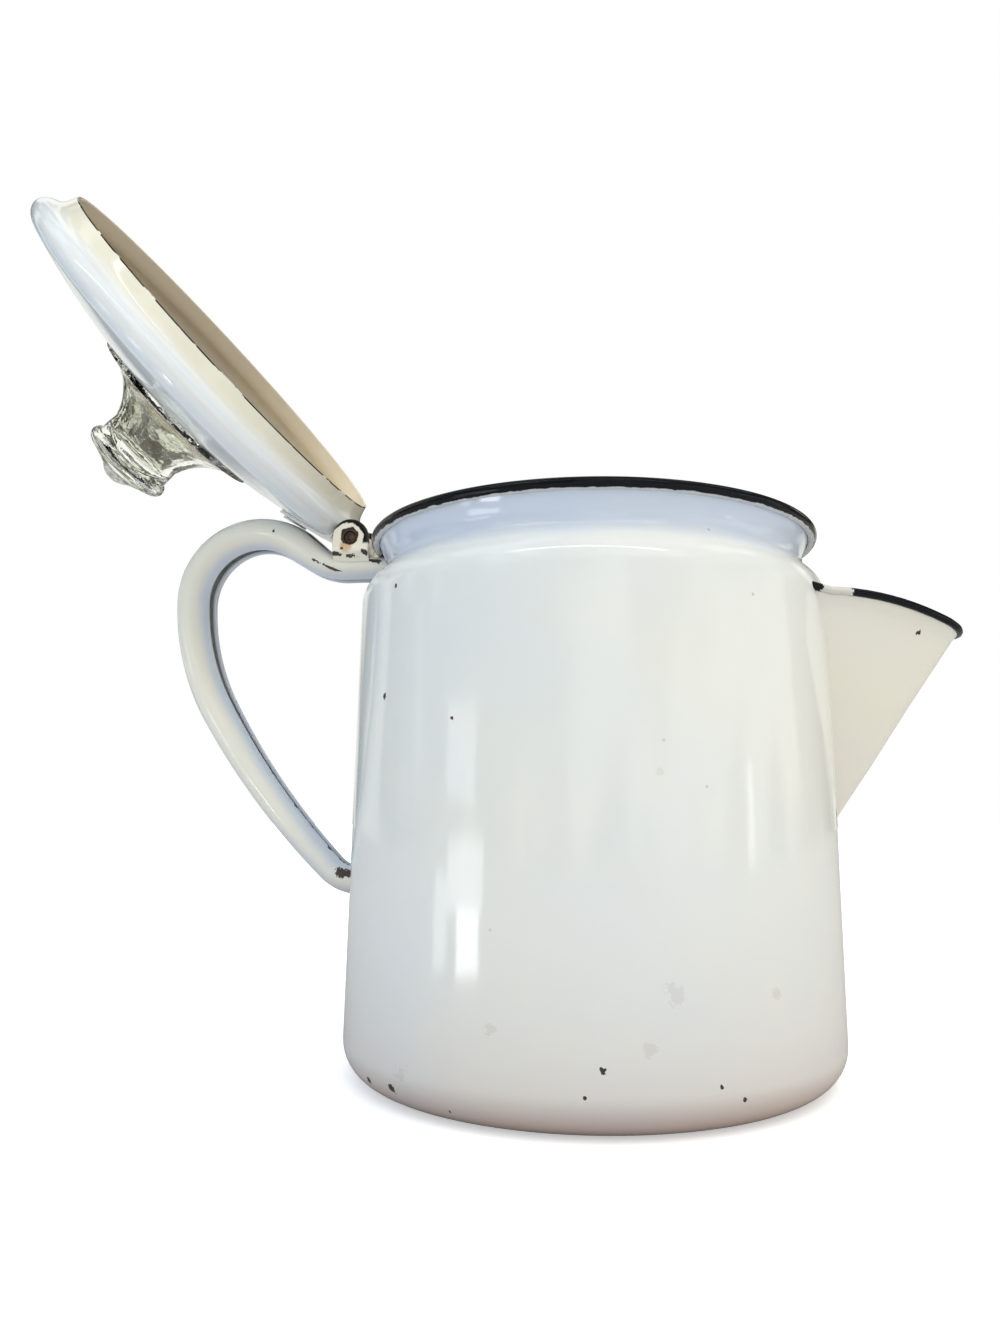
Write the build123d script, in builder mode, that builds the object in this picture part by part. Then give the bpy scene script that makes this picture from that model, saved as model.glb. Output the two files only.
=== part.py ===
from build123d import *
from math import asin, atan2, cos, degrees, radians, sin, tan
import os

# An enamelled coffee percolator with a hinged lid, modelled with the lid open.
# Origin: centre of the pot's base. +Z is up, +X points to the spout, the handle
# is at -X and the hinge pin lies along Y. All sizes are in millimetres.

# Pot body
base_radius = 80.0
base_corner = 12.0
wall = 1.0
wall_taper = 2.9
shoulder_radius_at_start = base_radius - wall_taper
shoulder_start_height = 149.0
shoulder_curve = 12.5
shoulder_turn = 68.0
neck_bulge = 0.5
neck_height = 24.4
neck_inset = 2.6
flare_inset = 2.1
rim_bead_radius = 1.6
rim_radius = shoulder_radius_at_start - neck_inset
rim_height = shoulder_start_height + neck_height
flare_radius = rim_radius - flare_inset

# Strainer holes in the wall behind the spout
strainer_hole = 3.2
strainer_rows = 5
strainer_start = 22.5
strainer_row_pitch = 9.5
strainer_turn = 6.5

# Spout
spout_reach = 37.2
spout_drop = 12.4
spout_tip = base_radius + spout_reach
spout_tip_height = shoulder_start_height - spout_drop
spout_nose_radius = 12.0
spout_nose_half_turn = 60.0
spout_half_width = 33.5
spout_root_inset = 11.1
spout_root = shoulder_radius_at_start - spout_root_inset
spout_slope = 10.8
spout_foot_stand = 0.4
spout_foot_radius = shoulder_radius_at_start + spout_foot_stand
spout_foot_height = 77.5
spout_foot_scale = 0.06
spout_wall = 1.0
spout_wall_angle = 55.0
lip_height = 5.0
lip_flare = 3.2
lip_bead = 1.25

# Handle
handle_root_inset = 8.5
handle_tongue_rise = 17.2
handle_tongue_reach = 9.4
handle_root = rim_radius - handle_root_inset
handle_tongue_height = shoulder_start_height + handle_tongue_rise
handle_tongue_end = rim_radius + handle_tongue_reach
handle_rise_radius = 20.0
handle_rise_turn = 36.0
handle_climb = 7.8
handle_crown_radius = 24.0
handle_grip_radius = 78.0
handle_grip_turn = 30.0
handle_leg_radius = 250.0
handle_leg_turn = 15.4
handle_foot_radius = 15.0
handle_foot_turn = 35.0
handle_foot_reach = 6.0
handle_tongue_depth = 8.0
handle_grip_width = 21.0
handle_grip_depth = 11.6
handle_foot_width = 16.0
handle_foot_depth = 9.5
handle_sheet = 1.2
handle_seam = 5.0

# Hinge
pin_reach = 7.3
pin_x = -(rim_radius + pin_reach)
hinge_lean = 2.2
pin_radius = 2.2
pin_recess = 0.5
pin_clearance = 0.05
ear_radius = 6.3
ear_thickness = 2.4
ear_gap = 0.4
ear_drop = 4.0
bracket_plate = 1.3
bracket_gap = 0.7
bracket_margin = 2.0
bracket_back = rim_radius + bracket_margin
leaf_width = 17.0
leaf_sheet = 1.2
leaf_reach = 19.0
rivet_radius = 1.5
rivet_head_radius = 2.6
rivet_head_height = 0.7
rivet_spacing = 9.0
rivet_inset = 4.5

# Lid
lid_open_angle = 130.5
lid_seat_gap = 0.3
lid_sheet = 0.9
skirt_margin = 4.3
skirt_taper = 1.7
skirt_groove_radius = rim_radius - skirt_margin
skirt_edge_radius = skirt_groove_radius - skirt_taper
skirt_depth = 4.8
brim_overhang = 1.4
brim_radius = rim_radius + brim_overhang
brim_nose_radius = 4.4
brim_lift = 1.8
brim_top_angle = 70.0
seat_radius = 34.0
seat_height = 25.6
knob_hole_radius = 25.0

# Glass knob
flange_radius = 32.5
flange_thickness = 1.8
flare_middle = (19.5, 8.6)
knob_waist_radius = 14.0
knob_waist_height = 18.5
knob_cap_radius = 16.0
knob_cap_height = 27.5
knob_cap_edge = 2.6
knob_cap_half_turn = 70.0
knob_shoulder_radius = 8.5
knob_shoulder_height = 32.5
knob_button_radius = 5.6
knob_button_height = 34.0
knob_height = 36.5
knob_rib = 0.8
knob_ribs = ((27.0, 4.2), (23.0, 6.3), (18.2, 9.8))
knob_wall = 3.4
knob_hollow_height = 27.0
knob_collar_wall = 2.4
knob_clearance = 0.3
lug_reach = 2.8
lug_height = 2.0
lug_half_turn = 13.0
notch_turn = 60.0
notch_margin = 3.0

# Pump and basket
running_gap = 0.3
tube_radius = 5.0
tube_wall = 0.8
tube_rise = 18.6
tube_top = rim_height + tube_rise
bell_radius = 38.0
bell_rim_height = 7.0
bell_height = 24.0
bell_sheet = 0.9
bell_bend = 6.0
bell_collar_height = 12.0
bell_notch_width = 9.0
bell_notch_height = 4.0
bell_notches = 4
stop_radius = 8.5
stop_height = 2.4
basket_floor = 108.0
basket_radius = 52.0
basket_height = 48.0
basket_sheet = 0.8
basket_corner = 4.0
basket_bead = 1.2
sieve_hole = 2.4
sieve_rings = 3
sieve_first_ring = 15.0
sieve_ring_pitch = 12.0
sieve_ring_count = 6
sleeve_clearance = 0.5
sleeve_wall = 0.8
sleeve_shortfall = 8.0
cover_clearance = 3.5
cover_dish = 3.0
cover_dish_gap = 2.5
cover_collar_height = 5.0
cover_bend = 1.5


def polar(radius, angle):
    return (radius * cos(radians(angle)), radius * sin(radians(angle)))


# The body is two circles in profile, the base corner and the shoulder, and the
# wall is the straight line that touches both. Any inset keeps the same angle.
corner_centre = Vector(base_radius - base_corner, base_corner)
shoulder_centre = Vector(shoulder_radius_at_start - shoulder_curve, shoulder_start_height)
centre_line = shoulder_centre - corner_centre
wall_lean = degrees(
    atan2(-centre_line.X, centre_line.Y)
    + asin((base_corner - shoulder_curve) / centre_line.length)
)
bead_centre = Vector(rim_radius - rim_bead_radius, rim_height - rim_bead_radius)


def pot_section(inset):
    """Half section of the pot, closed along the axis, with every face moved in."""
    corner = base_corner - inset
    shoulder = shoulder_curve - inset
    with BuildSketch(Plane.XZ) as section:
        with BuildLine():
            bottom = Line((0, inset), (corner_centre.X, inset))
            foot = CenterArc(corner_centre, corner, -90, 90 + wall_lean)
            top = CenterArc(shoulder_centre, shoulder, wall_lean, shoulder_turn - wall_lean)
            Line(foot @ 1, top @ 0)
            flare = Vector(flare_radius - inset, bead_centre.Y)
            bow = ((top @ 1) + flare) * 0.5 - Vector(neck_bulge, -neck_bulge)
            ThreePointArc(top @ 1, bow, flare)
            Polyline(flare, (0, flare.Y), bottom @ 0)
        make_face()
    return section.sketch


# Pot body: one drawn shell with a rolled rim
with BuildPart() as pot_form:
    revolve(pot_section(0), axis=Axis.Z)

with BuildPart() as pot_body:
    add(pot_form.part)
    revolve(pot_section(wall), axis=Axis.Z, mode=Mode.SUBTRACT)
    with BuildSketch(Plane.XZ):
        with Locations(bead_centre):
            Circle(rim_bead_radius)
    revolve(axis=Axis.Z)
    for row in range(strainer_rows):
        height = spout_foot_height + strainer_start + row * strainer_row_pitch
        for place in range(row + 1):
            turn = (place - row / 2) * strainer_turn
            ray = Plane((0, 0, height), x_dir=(0, 0, 1), z_dir=(*polar(1, turn), 0))
            with BuildSketch(ray):
                Circle(strainer_hole / 2)
            extrude(amount=spout_tip, mode=Mode.SUBTRACT)
pot_body.part.label = "pot_body"

# Spout: a cone of V section with a rounded nose, from a foot on the pot's wall
# up to a flared lip. The lip's plane falls towards the tip.
slope_dir = Vector(cos(radians(spout_slope)), 0, -sin(radians(spout_slope)))
slope_up = Vector(sin(radians(spout_slope)), 0, cos(radians(spout_slope)))
lip_root_height = spout_tip_height + spout_tip * tan(radians(spout_slope))
spout_foot = Vector(spout_foot_radius, 0, spout_foot_height)


def spout_section(scale, lift, grow):
    """Section of the spout: scale is 1 at the lip's crease and 0 at the foot."""
    cosine = cos(radians(spout_slope))
    origin = spout_foot + (Vector(0, 0, lip_root_height) - spout_foot) * scale
    place = Plane(origin + Vector(0, 0, lift), x_dir=slope_dir, z_dir=slope_up)
    nose = spout_nose_radius * scale + grow
    centre = ((spout_tip / cosine - spout_nose_radius) * scale, 0)
    root = Vector(spout_root / cosine * scale, spout_half_width * scale + grow)
    with BuildSketch(place) as section:
        with BuildLine():
            arc = CenterArc(centre, nose, -spout_nose_half_turn, 2 * spout_nose_half_turn)
            side = TangentArc(arc @ 1, root, tangent=arc % 1)
            mirror(side, about=Plane.XZ)
            Line(root, (root.X, -root.Y))
        make_face()
    return section.sketch


def spout_form(lift):
    """The spout and its flared lip as one full solid, raised by lift."""
    with BuildPart() as form:
        foot = spout_section(spout_foot_scale, lift, 0)
        crease = spout_section(1.0, lift, 0)
        rim = spout_section(1.0, lift + lip_height, lip_flare)
        loft([foot, crease], ruled=True)
        loft([crease, rim], ruled=True)
    return form.part


# Raising the same form leaves a wall of even thickness between the two.
with BuildPart() as spout:
    add(spout_form(0))
    add(spout_form(spout_wall / cos(radians(spout_wall_angle))), mode=Mode.SUBTRACT)
    rim = spout_section(1.0, lip_height - lip_bead / 2, lip_flare - lip_bead / 2)
    rim_path = Wire(rim.edges().filter_by(GeomType.CIRCLE))
    with BuildSketch(Plane(rim_path @ 0, z_dir=rim_path % 0)):
        Circle(lip_bead)
    sweep(path=rim_path)
    add(pot_form.part, mode=Mode.SUBTRACT)
spout.part.label = "spout"

# Handle: a sheet strap rolled to a C, open towards the fingers, that leaves the
# neck level, climbs past the hinge and comes back to the wall low down.
ear_inner = leaf_width / 2 + ear_gap
ear_outer = ear_inner + ear_thickness
with BuildLine(Plane.XZ) as handle_path:
    tongue = Line((-handle_root, handle_tongue_height), (-handle_tongue_end, handle_tongue_height))
    rise = JernArc(tongue @ 1, tongue % 1, handle_rise_radius, -handle_rise_turn)
    climb = Line(rise @ 1, (rise @ 1) + (rise % 1) * handle_climb)
    crown = JernArc(climb @ 1, climb % 1, handle_crown_radius, 90 + handle_rise_turn)
    grip = JernArc(crown @ 1, crown % 1, handle_grip_radius, handle_grip_turn)
    leg = JernArc(grip @ 1, grip % 1, handle_leg_radius, handle_leg_turn)
    foot = JernArc(leg @ 1, leg % 1, handle_foot_radius, handle_foot_turn)
    heel = Line(foot @ 1, (foot @ 1) + (foot % 1) * handle_foot_reach)


def strap_section(place, width, depth, hollow):
    """Section of the strap: a C when hollow, or else its full outline."""
    with BuildSketch(place) as section:
        Ellipse(width / 2, depth / 2)
        if hollow:
            Ellipse(width / 2 - handle_sheet, depth / 2 - handle_sheet, mode=Mode.SUBTRACT)
            with Locations((0, depth / 2)):
                Rectangle(handle_seam, depth / 2, mode=Mode.SUBTRACT)
    return section.sketch


tongue_size = (2 * ear_inner, handle_tongue_depth)
grip_size = (handle_grip_width, handle_grip_depth)
foot_size = (handle_foot_width, handle_foot_depth)
handle_spans = (
    (tongue, tongue, tongue_size, tongue_size),
    (rise, climb, tongue_size, grip_size),
    (crown, grip, grip_size, grip_size),
    (leg, leg, grip_size, foot_size),
    (foot, heel, foot_size, foot_size),
)


def strap(hollow):
    """The handle's strap swept span by span, each with its own size at both ends."""
    with BuildPart() as form:
        for first, last, start_size, end_size in handle_spans:
            span = Wire([first] if first is last else [first, last])
            start = Plane(span @ 0, x_dir=(0, 1, 0), z_dir=span % 0)
            end = Plane(span @ 1, x_dir=(0, 1, 0), z_dir=span % 1)
            ends = [strap_section(start, *start_size, hollow), strap_section(end, *end_size, hollow)]
            sweep(ends, path=span, multisection=True)
    return form.part


with BuildPart() as handle:
    add(strap(hollow=True))
    add(pot_form.part, mode=Mode.SUBTRACT)
handle.part.label = "handle"

# Hinge bracket: a saddle on the handle's tongue with two ears for the pin, which
# leans a little, so that the open lid hangs askew.
knuckle_bore = pin_radius + pin_clearance
knuckle_radius = knuckle_bore + leaf_sheet
saddle_height = handle_tongue_height + handle_tongue_depth / 2
pin_height = saddle_height + bracket_plate + bracket_gap + knuckle_radius
hinge_plane = Plane(
    (pin_x, 0, pin_height),
    x_dir=(1, 0, 0),
    z_dir=(0, -cos(radians(hinge_lean)), -sin(radians(hinge_lean))),
)
ear_length = pin_height - saddle_height + ear_drop
with BuildPart() as hinge_bracket:
    for ear_start in (ear_inner, -ear_outer):
        with BuildSketch(hinge_plane.offset(ear_start)):
            Circle(ear_radius)
            Rectangle(2 * ear_radius, ear_length, align=(Align.CENTER, Align.MAX))
            Circle(pin_radius, mode=Mode.SUBTRACT)
        extrude(amount=ear_thickness)
    with BuildSketch(Plane.XY.offset(saddle_height)):
        with Locations((-bracket_back, 0)):
            plate_length = -pin_x + ear_radius - bracket_back
            Rectangle(plate_length, 2 * ear_outer, align=(Align.MAX, Align.CENTER))
    extrude(amount=bracket_plate)
    add(strap(hollow=False), mode=Mode.SUBTRACT)
hinge_bracket.part.label = "hinge_bracket"

with BuildPart() as hinge_pin:
    with BuildSketch(hinge_plane):
        Circle(pin_radius)
    extrude(amount=ear_outer - pin_recess, both=True)
hinge_pin.part.label = "hinge_pin"

# Lid frame: the lid is drawn closed about its own axis, with zero height at the
# skirt's edge, on a plane that is turned back about the hinge pin.
lid_height = rim_height + lid_seat_gap - skirt_depth - brim_lift
pin_turn = Location((0, 0, 0), (0, 0, lid_open_angle))
open_turn = hinge_plane.location * pin_turn * hinge_plane.location.inverse()
lid_frame = Plane(open_turn * Location((0, 0, lid_height)))
lid_axis = Axis(lid_frame.origin, lid_frame.z_dir)
lid_half = Plane(lid_frame.origin, x_dir=lid_frame.x_dir, z_dir=-lid_frame.y_dir)
nose_centre = (brim_radius - brim_nose_radius, skirt_depth + brim_lift + brim_nose_radius)


def lid_section(inset):
    """Half section of the lid, closed along its axis, with every face moved in."""
    nose = brim_nose_radius - inset
    groove = (skirt_groove_radius - inset, skirt_depth + inset)
    with BuildSketch(lid_half) as section:
        with BuildLine():
            skirt = Polyline((0, -inset), (skirt_edge_radius - inset, -inset), groove)
            bead = CenterArc(nose_centre, nose, -90, 90 + brim_top_angle)
            Line(groove, bead @ 0)
            dome = TangentArc(bead @ 1, Vector(seat_radius, seat_height - inset), tangent=bead % 1)
            Polyline(dome @ 1, (0, seat_height - inset), skirt @ 0)
        make_face()
    return section.sketch


def dome_line():
    """The dome's line in the lid's half section, from the brim to the knob's seat."""
    bead = CenterArc(nose_centre, brim_nose_radius, -90, 90 + brim_top_angle)
    return TangentArc(bead @ 1, (seat_radius, seat_height), tangent=bead % 1)


# Leaf rivets: two, square to the dome, with a head on each side
dome = dome_line()
rivet_spot = dome @ ((leaf_reach - rivet_inset) / (brim_radius - seat_radius))
dome_slope = degrees(atan2(rivet_spot.Y - (dome @ 0).Y, (dome @ 0).X - rivet_spot.X))
with BuildPart() as leaf_rivets:
    for side in (-rivet_spacing / 2, rivet_spacing / 2):
        spot = lid_frame.location * Location((-rivet_spot.X, side, rivet_spot.Y), (0, -dome_slope, 0))
        for level, radius, height in (
            (-lid_sheet - rivet_head_height, rivet_head_radius, rivet_head_height),
            (-lid_sheet, rivet_radius, lid_sheet + leaf_sheet),
            (leaf_sheet, rivet_head_radius, rivet_head_height),
        ):
            with BuildSketch(Plane(spot).offset(level)):
                Circle(radius)
            extrude(amount=height)
leaf_rivets.part.label = "leaf_rivets"


def lug_ring(half_turn, turn, reach):
    """Two opposite sectors round the lid's axis, as wide as a lug or its notch."""
    with BuildSketch() as sectors:
        for start in (turn - half_turn, turn - half_turn + 180):
            with BuildLine():
                edge = CenterArc((0, 0), reach, start, 2 * half_turn)
                Polyline(edge @ 1, (0, 0), edge @ 0)
            make_face()
    return sectors.sketch


# Lid shell: domed cover with a round brim over the rim and a skirt inside it
with BuildPart() as lid_shell:
    revolve(lid_section(0), axis=lid_axis)
    revolve(lid_section(lid_sheet), axis=lid_axis, mode=Mode.SUBTRACT)
    with BuildSketch(lid_frame.offset(seat_height - 2 * lid_sheet)):
        Circle(knob_hole_radius)
        add(lug_ring(lug_half_turn + notch_margin, notch_turn, knob_hole_radius + lug_reach))
    extrude(amount=3 * lid_sheet, mode=Mode.SUBTRACT)
    add(leaf_rivets.part, mode=Mode.SUBTRACT)
lid_shell.part.label = "lid_shell"

# Hinge leaf: a strip formed over the brim, with its end rolled round the pin
pin_in_lid = (pin_x, pin_height - lid_height)
nose_in_lid = (-nose_centre[0], nose_centre[1])
with BuildPart() as lid_form:
    revolve(lid_section(0), axis=lid_axis)

with BuildPart() as lid_hinge_leaf:
    revolve(lid_section(-leaf_sheet), axis=lid_axis)
    with BuildSketch(lid_frame.offset(nose_centre[1])):
        with Locations((-brim_radius - leaf_sheet, 0)):
            Rectangle(leaf_reach + leaf_sheet, leaf_width, align=(Align.MIN, Align.CENTER))
    extrude(amount=seat_height, mode=Mode.INTERSECT)
    with BuildSketch(lid_half):
        with Locations(nose_in_lid):
            Circle(brim_nose_radius + leaf_sheet)
        with Locations(pin_in_lid):
            Circle(knuckle_radius)
        make_hull()
        with BuildSketch(mode=Mode.SUBTRACT):
            with Locations(nose_in_lid):
                Circle(brim_nose_radius)
            with Locations(pin_in_lid):
                Circle(knuckle_bore)
            make_hull()
        with BuildLine():
            low = Vector(0, -2 * ear_radius)
            back = Vector(pin_in_lid) - Vector(2 * ear_radius, 0)
            inside = Vector(nose_in_lid) + Vector(leaf_reach, 0)
            top = Vector(pin_in_lid) - low
            Polyline(pin_in_lid, nose_in_lid, inside, inside + low, back + low, back - low, top, close=True)
        make_face(mode=Mode.SUBTRACT)
    extrude(amount=leaf_width / 2, both=True)
    add(lid_form.part, mode=Mode.SUBTRACT)
    add(leaf_rivets.part, mode=Mode.SUBTRACT)
    with BuildSketch(hinge_plane):
        Circle(knuckle_radius)
    extrude(amount=leaf_width / 2, both=True)
    with BuildSketch(hinge_plane):
        Circle(knuckle_bore)
    extrude(amount=leaf_width, both=True, mode=Mode.SUBTRACT)
lid_hinge_leaf.part.label = "lid_hinge_leaf"

# Glass knob: a hollow pressed cap that locks under the lid with two lugs
knob_frame = lid_frame.offset(seat_height + running_gap)
knob_half = Plane(knob_frame.origin, x_dir=knob_frame.x_dir, z_dir=-knob_frame.y_dir)
collar_radius = knob_hole_radius - knob_clearance
lug_top = lid_sheet + running_gap + knob_clearance
collar_depth = lug_top + lug_height
with BuildPart() as glass_knob:
    with BuildSketch(knob_half):
        with BuildLine():
            base = Polyline((0, 0), (flange_radius, 0), (flange_radius, flange_thickness))
            flare = ThreePointArc(base @ 1, flare_middle, (knob_waist_radius, knob_waist_height))
            cap_centre = (knob_cap_radius - knob_cap_edge, knob_cap_height)
            cap = CenterArc(cap_centre, knob_cap_edge, -knob_cap_half_turn, 2 * knob_cap_half_turn)
            Line(flare @ 1, cap @ 0)
            shoulder = Line(cap @ 1, (knob_shoulder_radius, knob_shoulder_height))
            button = Line(shoulder @ 1, (knob_button_radius, knob_button_height))
            crown_arc = TangentArc((0, knob_height), button @ 1, tangent=(1, 0))
            Line((0, knob_height), (0, 0))
        make_face()
    revolve(axis=lid_axis)
    with BuildSketch(knob_half):
        with Locations(*knob_ribs):
            Circle(knob_rib)
    revolve(axis=lid_axis)
    with BuildSketch(knob_frame):
        Circle(collar_radius)
    extrude(amount=-collar_depth)
    with BuildSketch(knob_frame.offset(-collar_depth)):
        add(lug_ring(lug_half_turn, 0, collar_radius + lug_reach))
    extrude(amount=lug_height)
    with BuildSketch(knob_half):
        with BuildLine():
            mouth = collar_radius - knob_collar_wall
            throat = knob_waist_radius - knob_wall
            funnel = Polyline((0, -2 * collar_depth), (mouth, -2 * collar_depth), (mouth, 0))
            middle = (flare_middle[0] - knob_wall, flare_middle[1] - knob_wall)
            bell = ThreePointArc(funnel @ 1, middle, (throat, knob_waist_height))
            wall_line = Line(bell @ 1, (throat, knob_hollow_height - throat / 2))
            TangentArc((0, knob_hollow_height), wall_line @ 1, tangent=(1, 0))
            Line((0, knob_hollow_height), funnel @ 0)
        make_face()
    revolve(axis=lid_axis, mode=Mode.SUBTRACT)
glass_knob.part.label = "glass_knob"

# Pump base: a spun bell that stands on the pot's floor and grips the tube
bell_foot = wall + running_gap
bell_top = bell_foot + bell_height
with BuildPart() as pump_base:
    with BuildSketch(Plane.XZ):
        with BuildLine():
            grip_radius = tube_radius + bell_sheet / 2
            FilletPolyline(
                (bell_radius, bell_foot),
                (bell_radius - bell_sheet, bell_foot + bell_rim_height),
                (grip_radius, bell_top),
                (grip_radius, bell_top + bell_collar_height),
                radius=bell_bend,
            )
        trace(line_width=bell_sheet)
    revolve(axis=Axis.Z)
    with BuildSketch(Plane.XY.offset(bell_foot)):
        with PolarLocations(bell_radius, bell_notches):
            Rectangle(bell_notch_width, bell_notch_width)
    extrude(amount=bell_notch_height, mode=Mode.SUBTRACT)
pump_base.part.label = "pump_base"

with BuildPart() as pump_tube:
    with BuildSketch(Plane.XY.offset(bell_top + bell_bend / 2)):
        Circle(tube_radius)
        Circle(tube_radius - tube_wall, mode=Mode.SUBTRACT)
    extrude(amount=tube_top - bell_top - bell_bend / 2)
pump_tube.part.label = "pump_tube"

# Stop: the ring on the tube that carries the basket
with BuildPart() as basket_stop:
    with BuildSketch(Plane.XY.offset(basket_floor - running_gap - stop_height)):
        Circle(stop_radius)
        Circle(tube_radius, mode=Mode.SUBTRACT)
    extrude(amount=stop_height)
    outer_edges = basket_stop.edges().filter_by(GeomType.CIRCLE).group_by(SortBy.RADIUS)[-1]
    fillet(outer_edges, stop_height / 3)
basket_stop.part.label = "basket_stop"


def sieve_holes():
    """Rings of drilled holes, each ring with six more than the one inside it."""
    with BuildSketch() as holes:
        for ring in range(sieve_rings):
            radius = sieve_first_ring + ring * sieve_ring_pitch
            with PolarLocations(radius, (ring + 1) * sieve_ring_count):
                Circle(sieve_hole / 2)
    return holes.sketch


# Basket: a drawn cup with a sieve floor, a rolled rim and a sleeve on the tube
sleeve_bore = tube_radius + sleeve_clearance
sleeve_radius = sleeve_bore + sleeve_wall
basket_top = basket_floor + basket_height
with BuildPart() as basket_cup:
    with BuildSketch(Plane.XZ):
        with BuildLine():
            level = basket_floor + basket_sheet / 2
            side = basket_radius - basket_sheet / 2
            FilletPolyline((sleeve_radius, level), (side, level), (side, basket_top), radius=basket_corner)
        trace(line_width=basket_sheet)
        with Locations((side, basket_top)):
            Circle(basket_bead)
    revolve(axis=Axis.Z)
    with BuildSketch(Plane.XY.offset(basket_floor - basket_sheet)):
        add(sieve_holes())
    extrude(amount=3 * basket_sheet, mode=Mode.SUBTRACT)
basket_cup.part.label = "basket_cup"

with BuildPart() as basket_sleeve:
    with BuildSketch(Plane.XY.offset(basket_floor)):
        Circle(sleeve_radius)
        Circle(sleeve_bore, mode=Mode.SUBTRACT)
    extrude(amount=basket_height - sleeve_shortfall)
basket_sleeve.part.label = "basket_sleeve"

# Spreader: the dished and drilled cover that lies on the basket's rim, with a
# loose collar round the tube
spreader_height = basket_top + basket_bead + running_gap + basket_sheet / 2
dish_height = spreader_height - cover_dish
collar_bore = tube_radius + cover_clearance
collar_outside = collar_bore + basket_sheet
with BuildPart() as basket_spreader:
    with BuildSketch(Plane.XZ):
        with BuildLine():
            dish = basket_radius - basket_bead - cover_dish_gap
            FilletPolyline(
                (collar_outside, dish_height),
                (dish, dish_height),
                (dish, spreader_height),
                (basket_radius + basket_bead, spreader_height),
                radius=cover_bend,
            )
        trace(line_width=basket_sheet)
    revolve(axis=Axis.Z)
    with BuildSketch(Plane.XY.offset(dish_height - basket_sheet)):
        add(sieve_holes())
    extrude(amount=3 * basket_sheet, mode=Mode.SUBTRACT)
basket_spreader.part.label = "basket_spreader"

with BuildPart() as spreader_collar:
    with BuildSketch(Plane.XY.offset(dish_height - basket_sheet / 2)):
        Circle(collar_outside)
        Circle(collar_bore, mode=Mode.SUBTRACT)
    extrude(amount=cover_collar_height)
spreader_collar.part.label = "spreader_collar"

pieces = (
    pot_body, spout, handle, hinge_bracket, hinge_pin,
    lid_shell, lid_hinge_leaf, leaf_rivets, glass_knob,
    pump_base, pump_tube, basket_stop, basket_cup, basket_sleeve,
    basket_spreader, spreader_collar,
)
os.makedirs("parts", exist_ok=True)
for piece in pieces:
    export_step(piece.part, f"parts/{piece.part.label}.step")
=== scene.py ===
# %% [markdown]
# # An enamelled coffee percolator
#
# The object is an old stove-top coffee pot of sheet steel, dipped in white enamel, with black
# enamel on its rolled edges and a pressed glass knob on its lid. The solid model of the pot
# is loaded first and never moves. Each visible piece is then made again here as a smooth,
# detailed mesh that stands exactly where its solid stands, and gets its own finish.

# %% Load the frame
import bpy, bmesh
from math import asin, atan2, cos, degrees, hypot, pi, radians, sin, tan
from mathutils import Matrix, Vector


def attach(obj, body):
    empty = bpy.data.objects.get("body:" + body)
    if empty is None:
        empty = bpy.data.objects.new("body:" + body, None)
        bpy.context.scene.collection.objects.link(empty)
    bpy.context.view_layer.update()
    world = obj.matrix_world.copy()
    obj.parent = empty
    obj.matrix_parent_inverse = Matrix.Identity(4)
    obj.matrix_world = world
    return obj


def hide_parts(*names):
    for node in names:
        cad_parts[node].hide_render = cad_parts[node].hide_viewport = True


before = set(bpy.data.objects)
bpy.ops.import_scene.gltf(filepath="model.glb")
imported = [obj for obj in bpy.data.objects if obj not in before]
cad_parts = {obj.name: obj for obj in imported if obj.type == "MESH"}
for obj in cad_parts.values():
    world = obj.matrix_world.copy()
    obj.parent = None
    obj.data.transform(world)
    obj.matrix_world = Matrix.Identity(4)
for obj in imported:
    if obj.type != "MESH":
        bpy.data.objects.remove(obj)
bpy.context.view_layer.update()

# %% [markdown]
# The camera comes first. The picture was taken by hand from about a third of a metre away with a
# wide lens, at half the pot's height, and the lens looks slightly up. Its place was worked out
# from the pot's own outline. Blender measures the lens in millimetres on a 36 mm frame, and the
# long side of the picture is the upright one, so the focal length in pixels is divided by the
# picture's height.

# %% Camera
PICTURE_HEIGHT, FOCAL_PIXELS, SHIFT_PIXELS, FRAME_WIDTH = 1333, 1015.46, (-31.7, 30.5), 36
CAMERA_PLACE, CAMERA_TURNS = (0.01666, -0.34152, 0.08436), (96.104, -0.256, 6.151)


def link_object(name, data):
    """Puts a mesh, a curve, a lamp or a camera into the scene."""
    made = bpy.data.objects.new(name, data)
    bpy.context.scene.collection.objects.link(made)
    return made


camera_data = bpy.data.cameras.new("camera")
camera = link_object("camera", camera_data)
camera.location = CAMERA_PLACE
camera.rotation_euler = [radians(v) for v in CAMERA_TURNS]
camera_data.lens = FOCAL_PIXELS / PICTURE_HEIGHT * FRAME_WIDTH
camera_data.shift_x, camera_data.shift_y = [v / PICTURE_HEIGHT for v in SHIFT_PIXELS]
camera_data.clip_start = 0.01
bpy.context.scene.camera = camera
print("lens", round(camera_data.lens, 2), "mm")

# %% [markdown]
# Every piece is a mesh that stands at the origin, and every finish is a small graph of nodes.
# A few helpers come first: one links a mesh, one starts a material, one adds a node and sets
# its sockets by name, and the others add the calculations that come up again and again. A
# socket takes either a plain value or the output of another node, and plug tells them apart.

# %% Piece and node helpers
MM = 0.001
VECTOR = "ShaderNodeVectorMath"


def link_piece(name, bm):
    """Turns a finished bmesh into an object at the origin."""
    data = bpy.data.meshes.new(name)
    bm.to_mesh(data)
    bm.free()
    return link_object(name, data)


def start_material(name):
    """A new material: its node tree, its surface shader and the place in the frame."""
    material = bpy.data.materials.new(name)
    material.use_nodes = True
    tree = material.node_tree
    place = tree.nodes.new("ShaderNodeTexCoord").outputs["Object"]
    return material, tree, tree.nodes["Principled BSDF"], place


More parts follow.
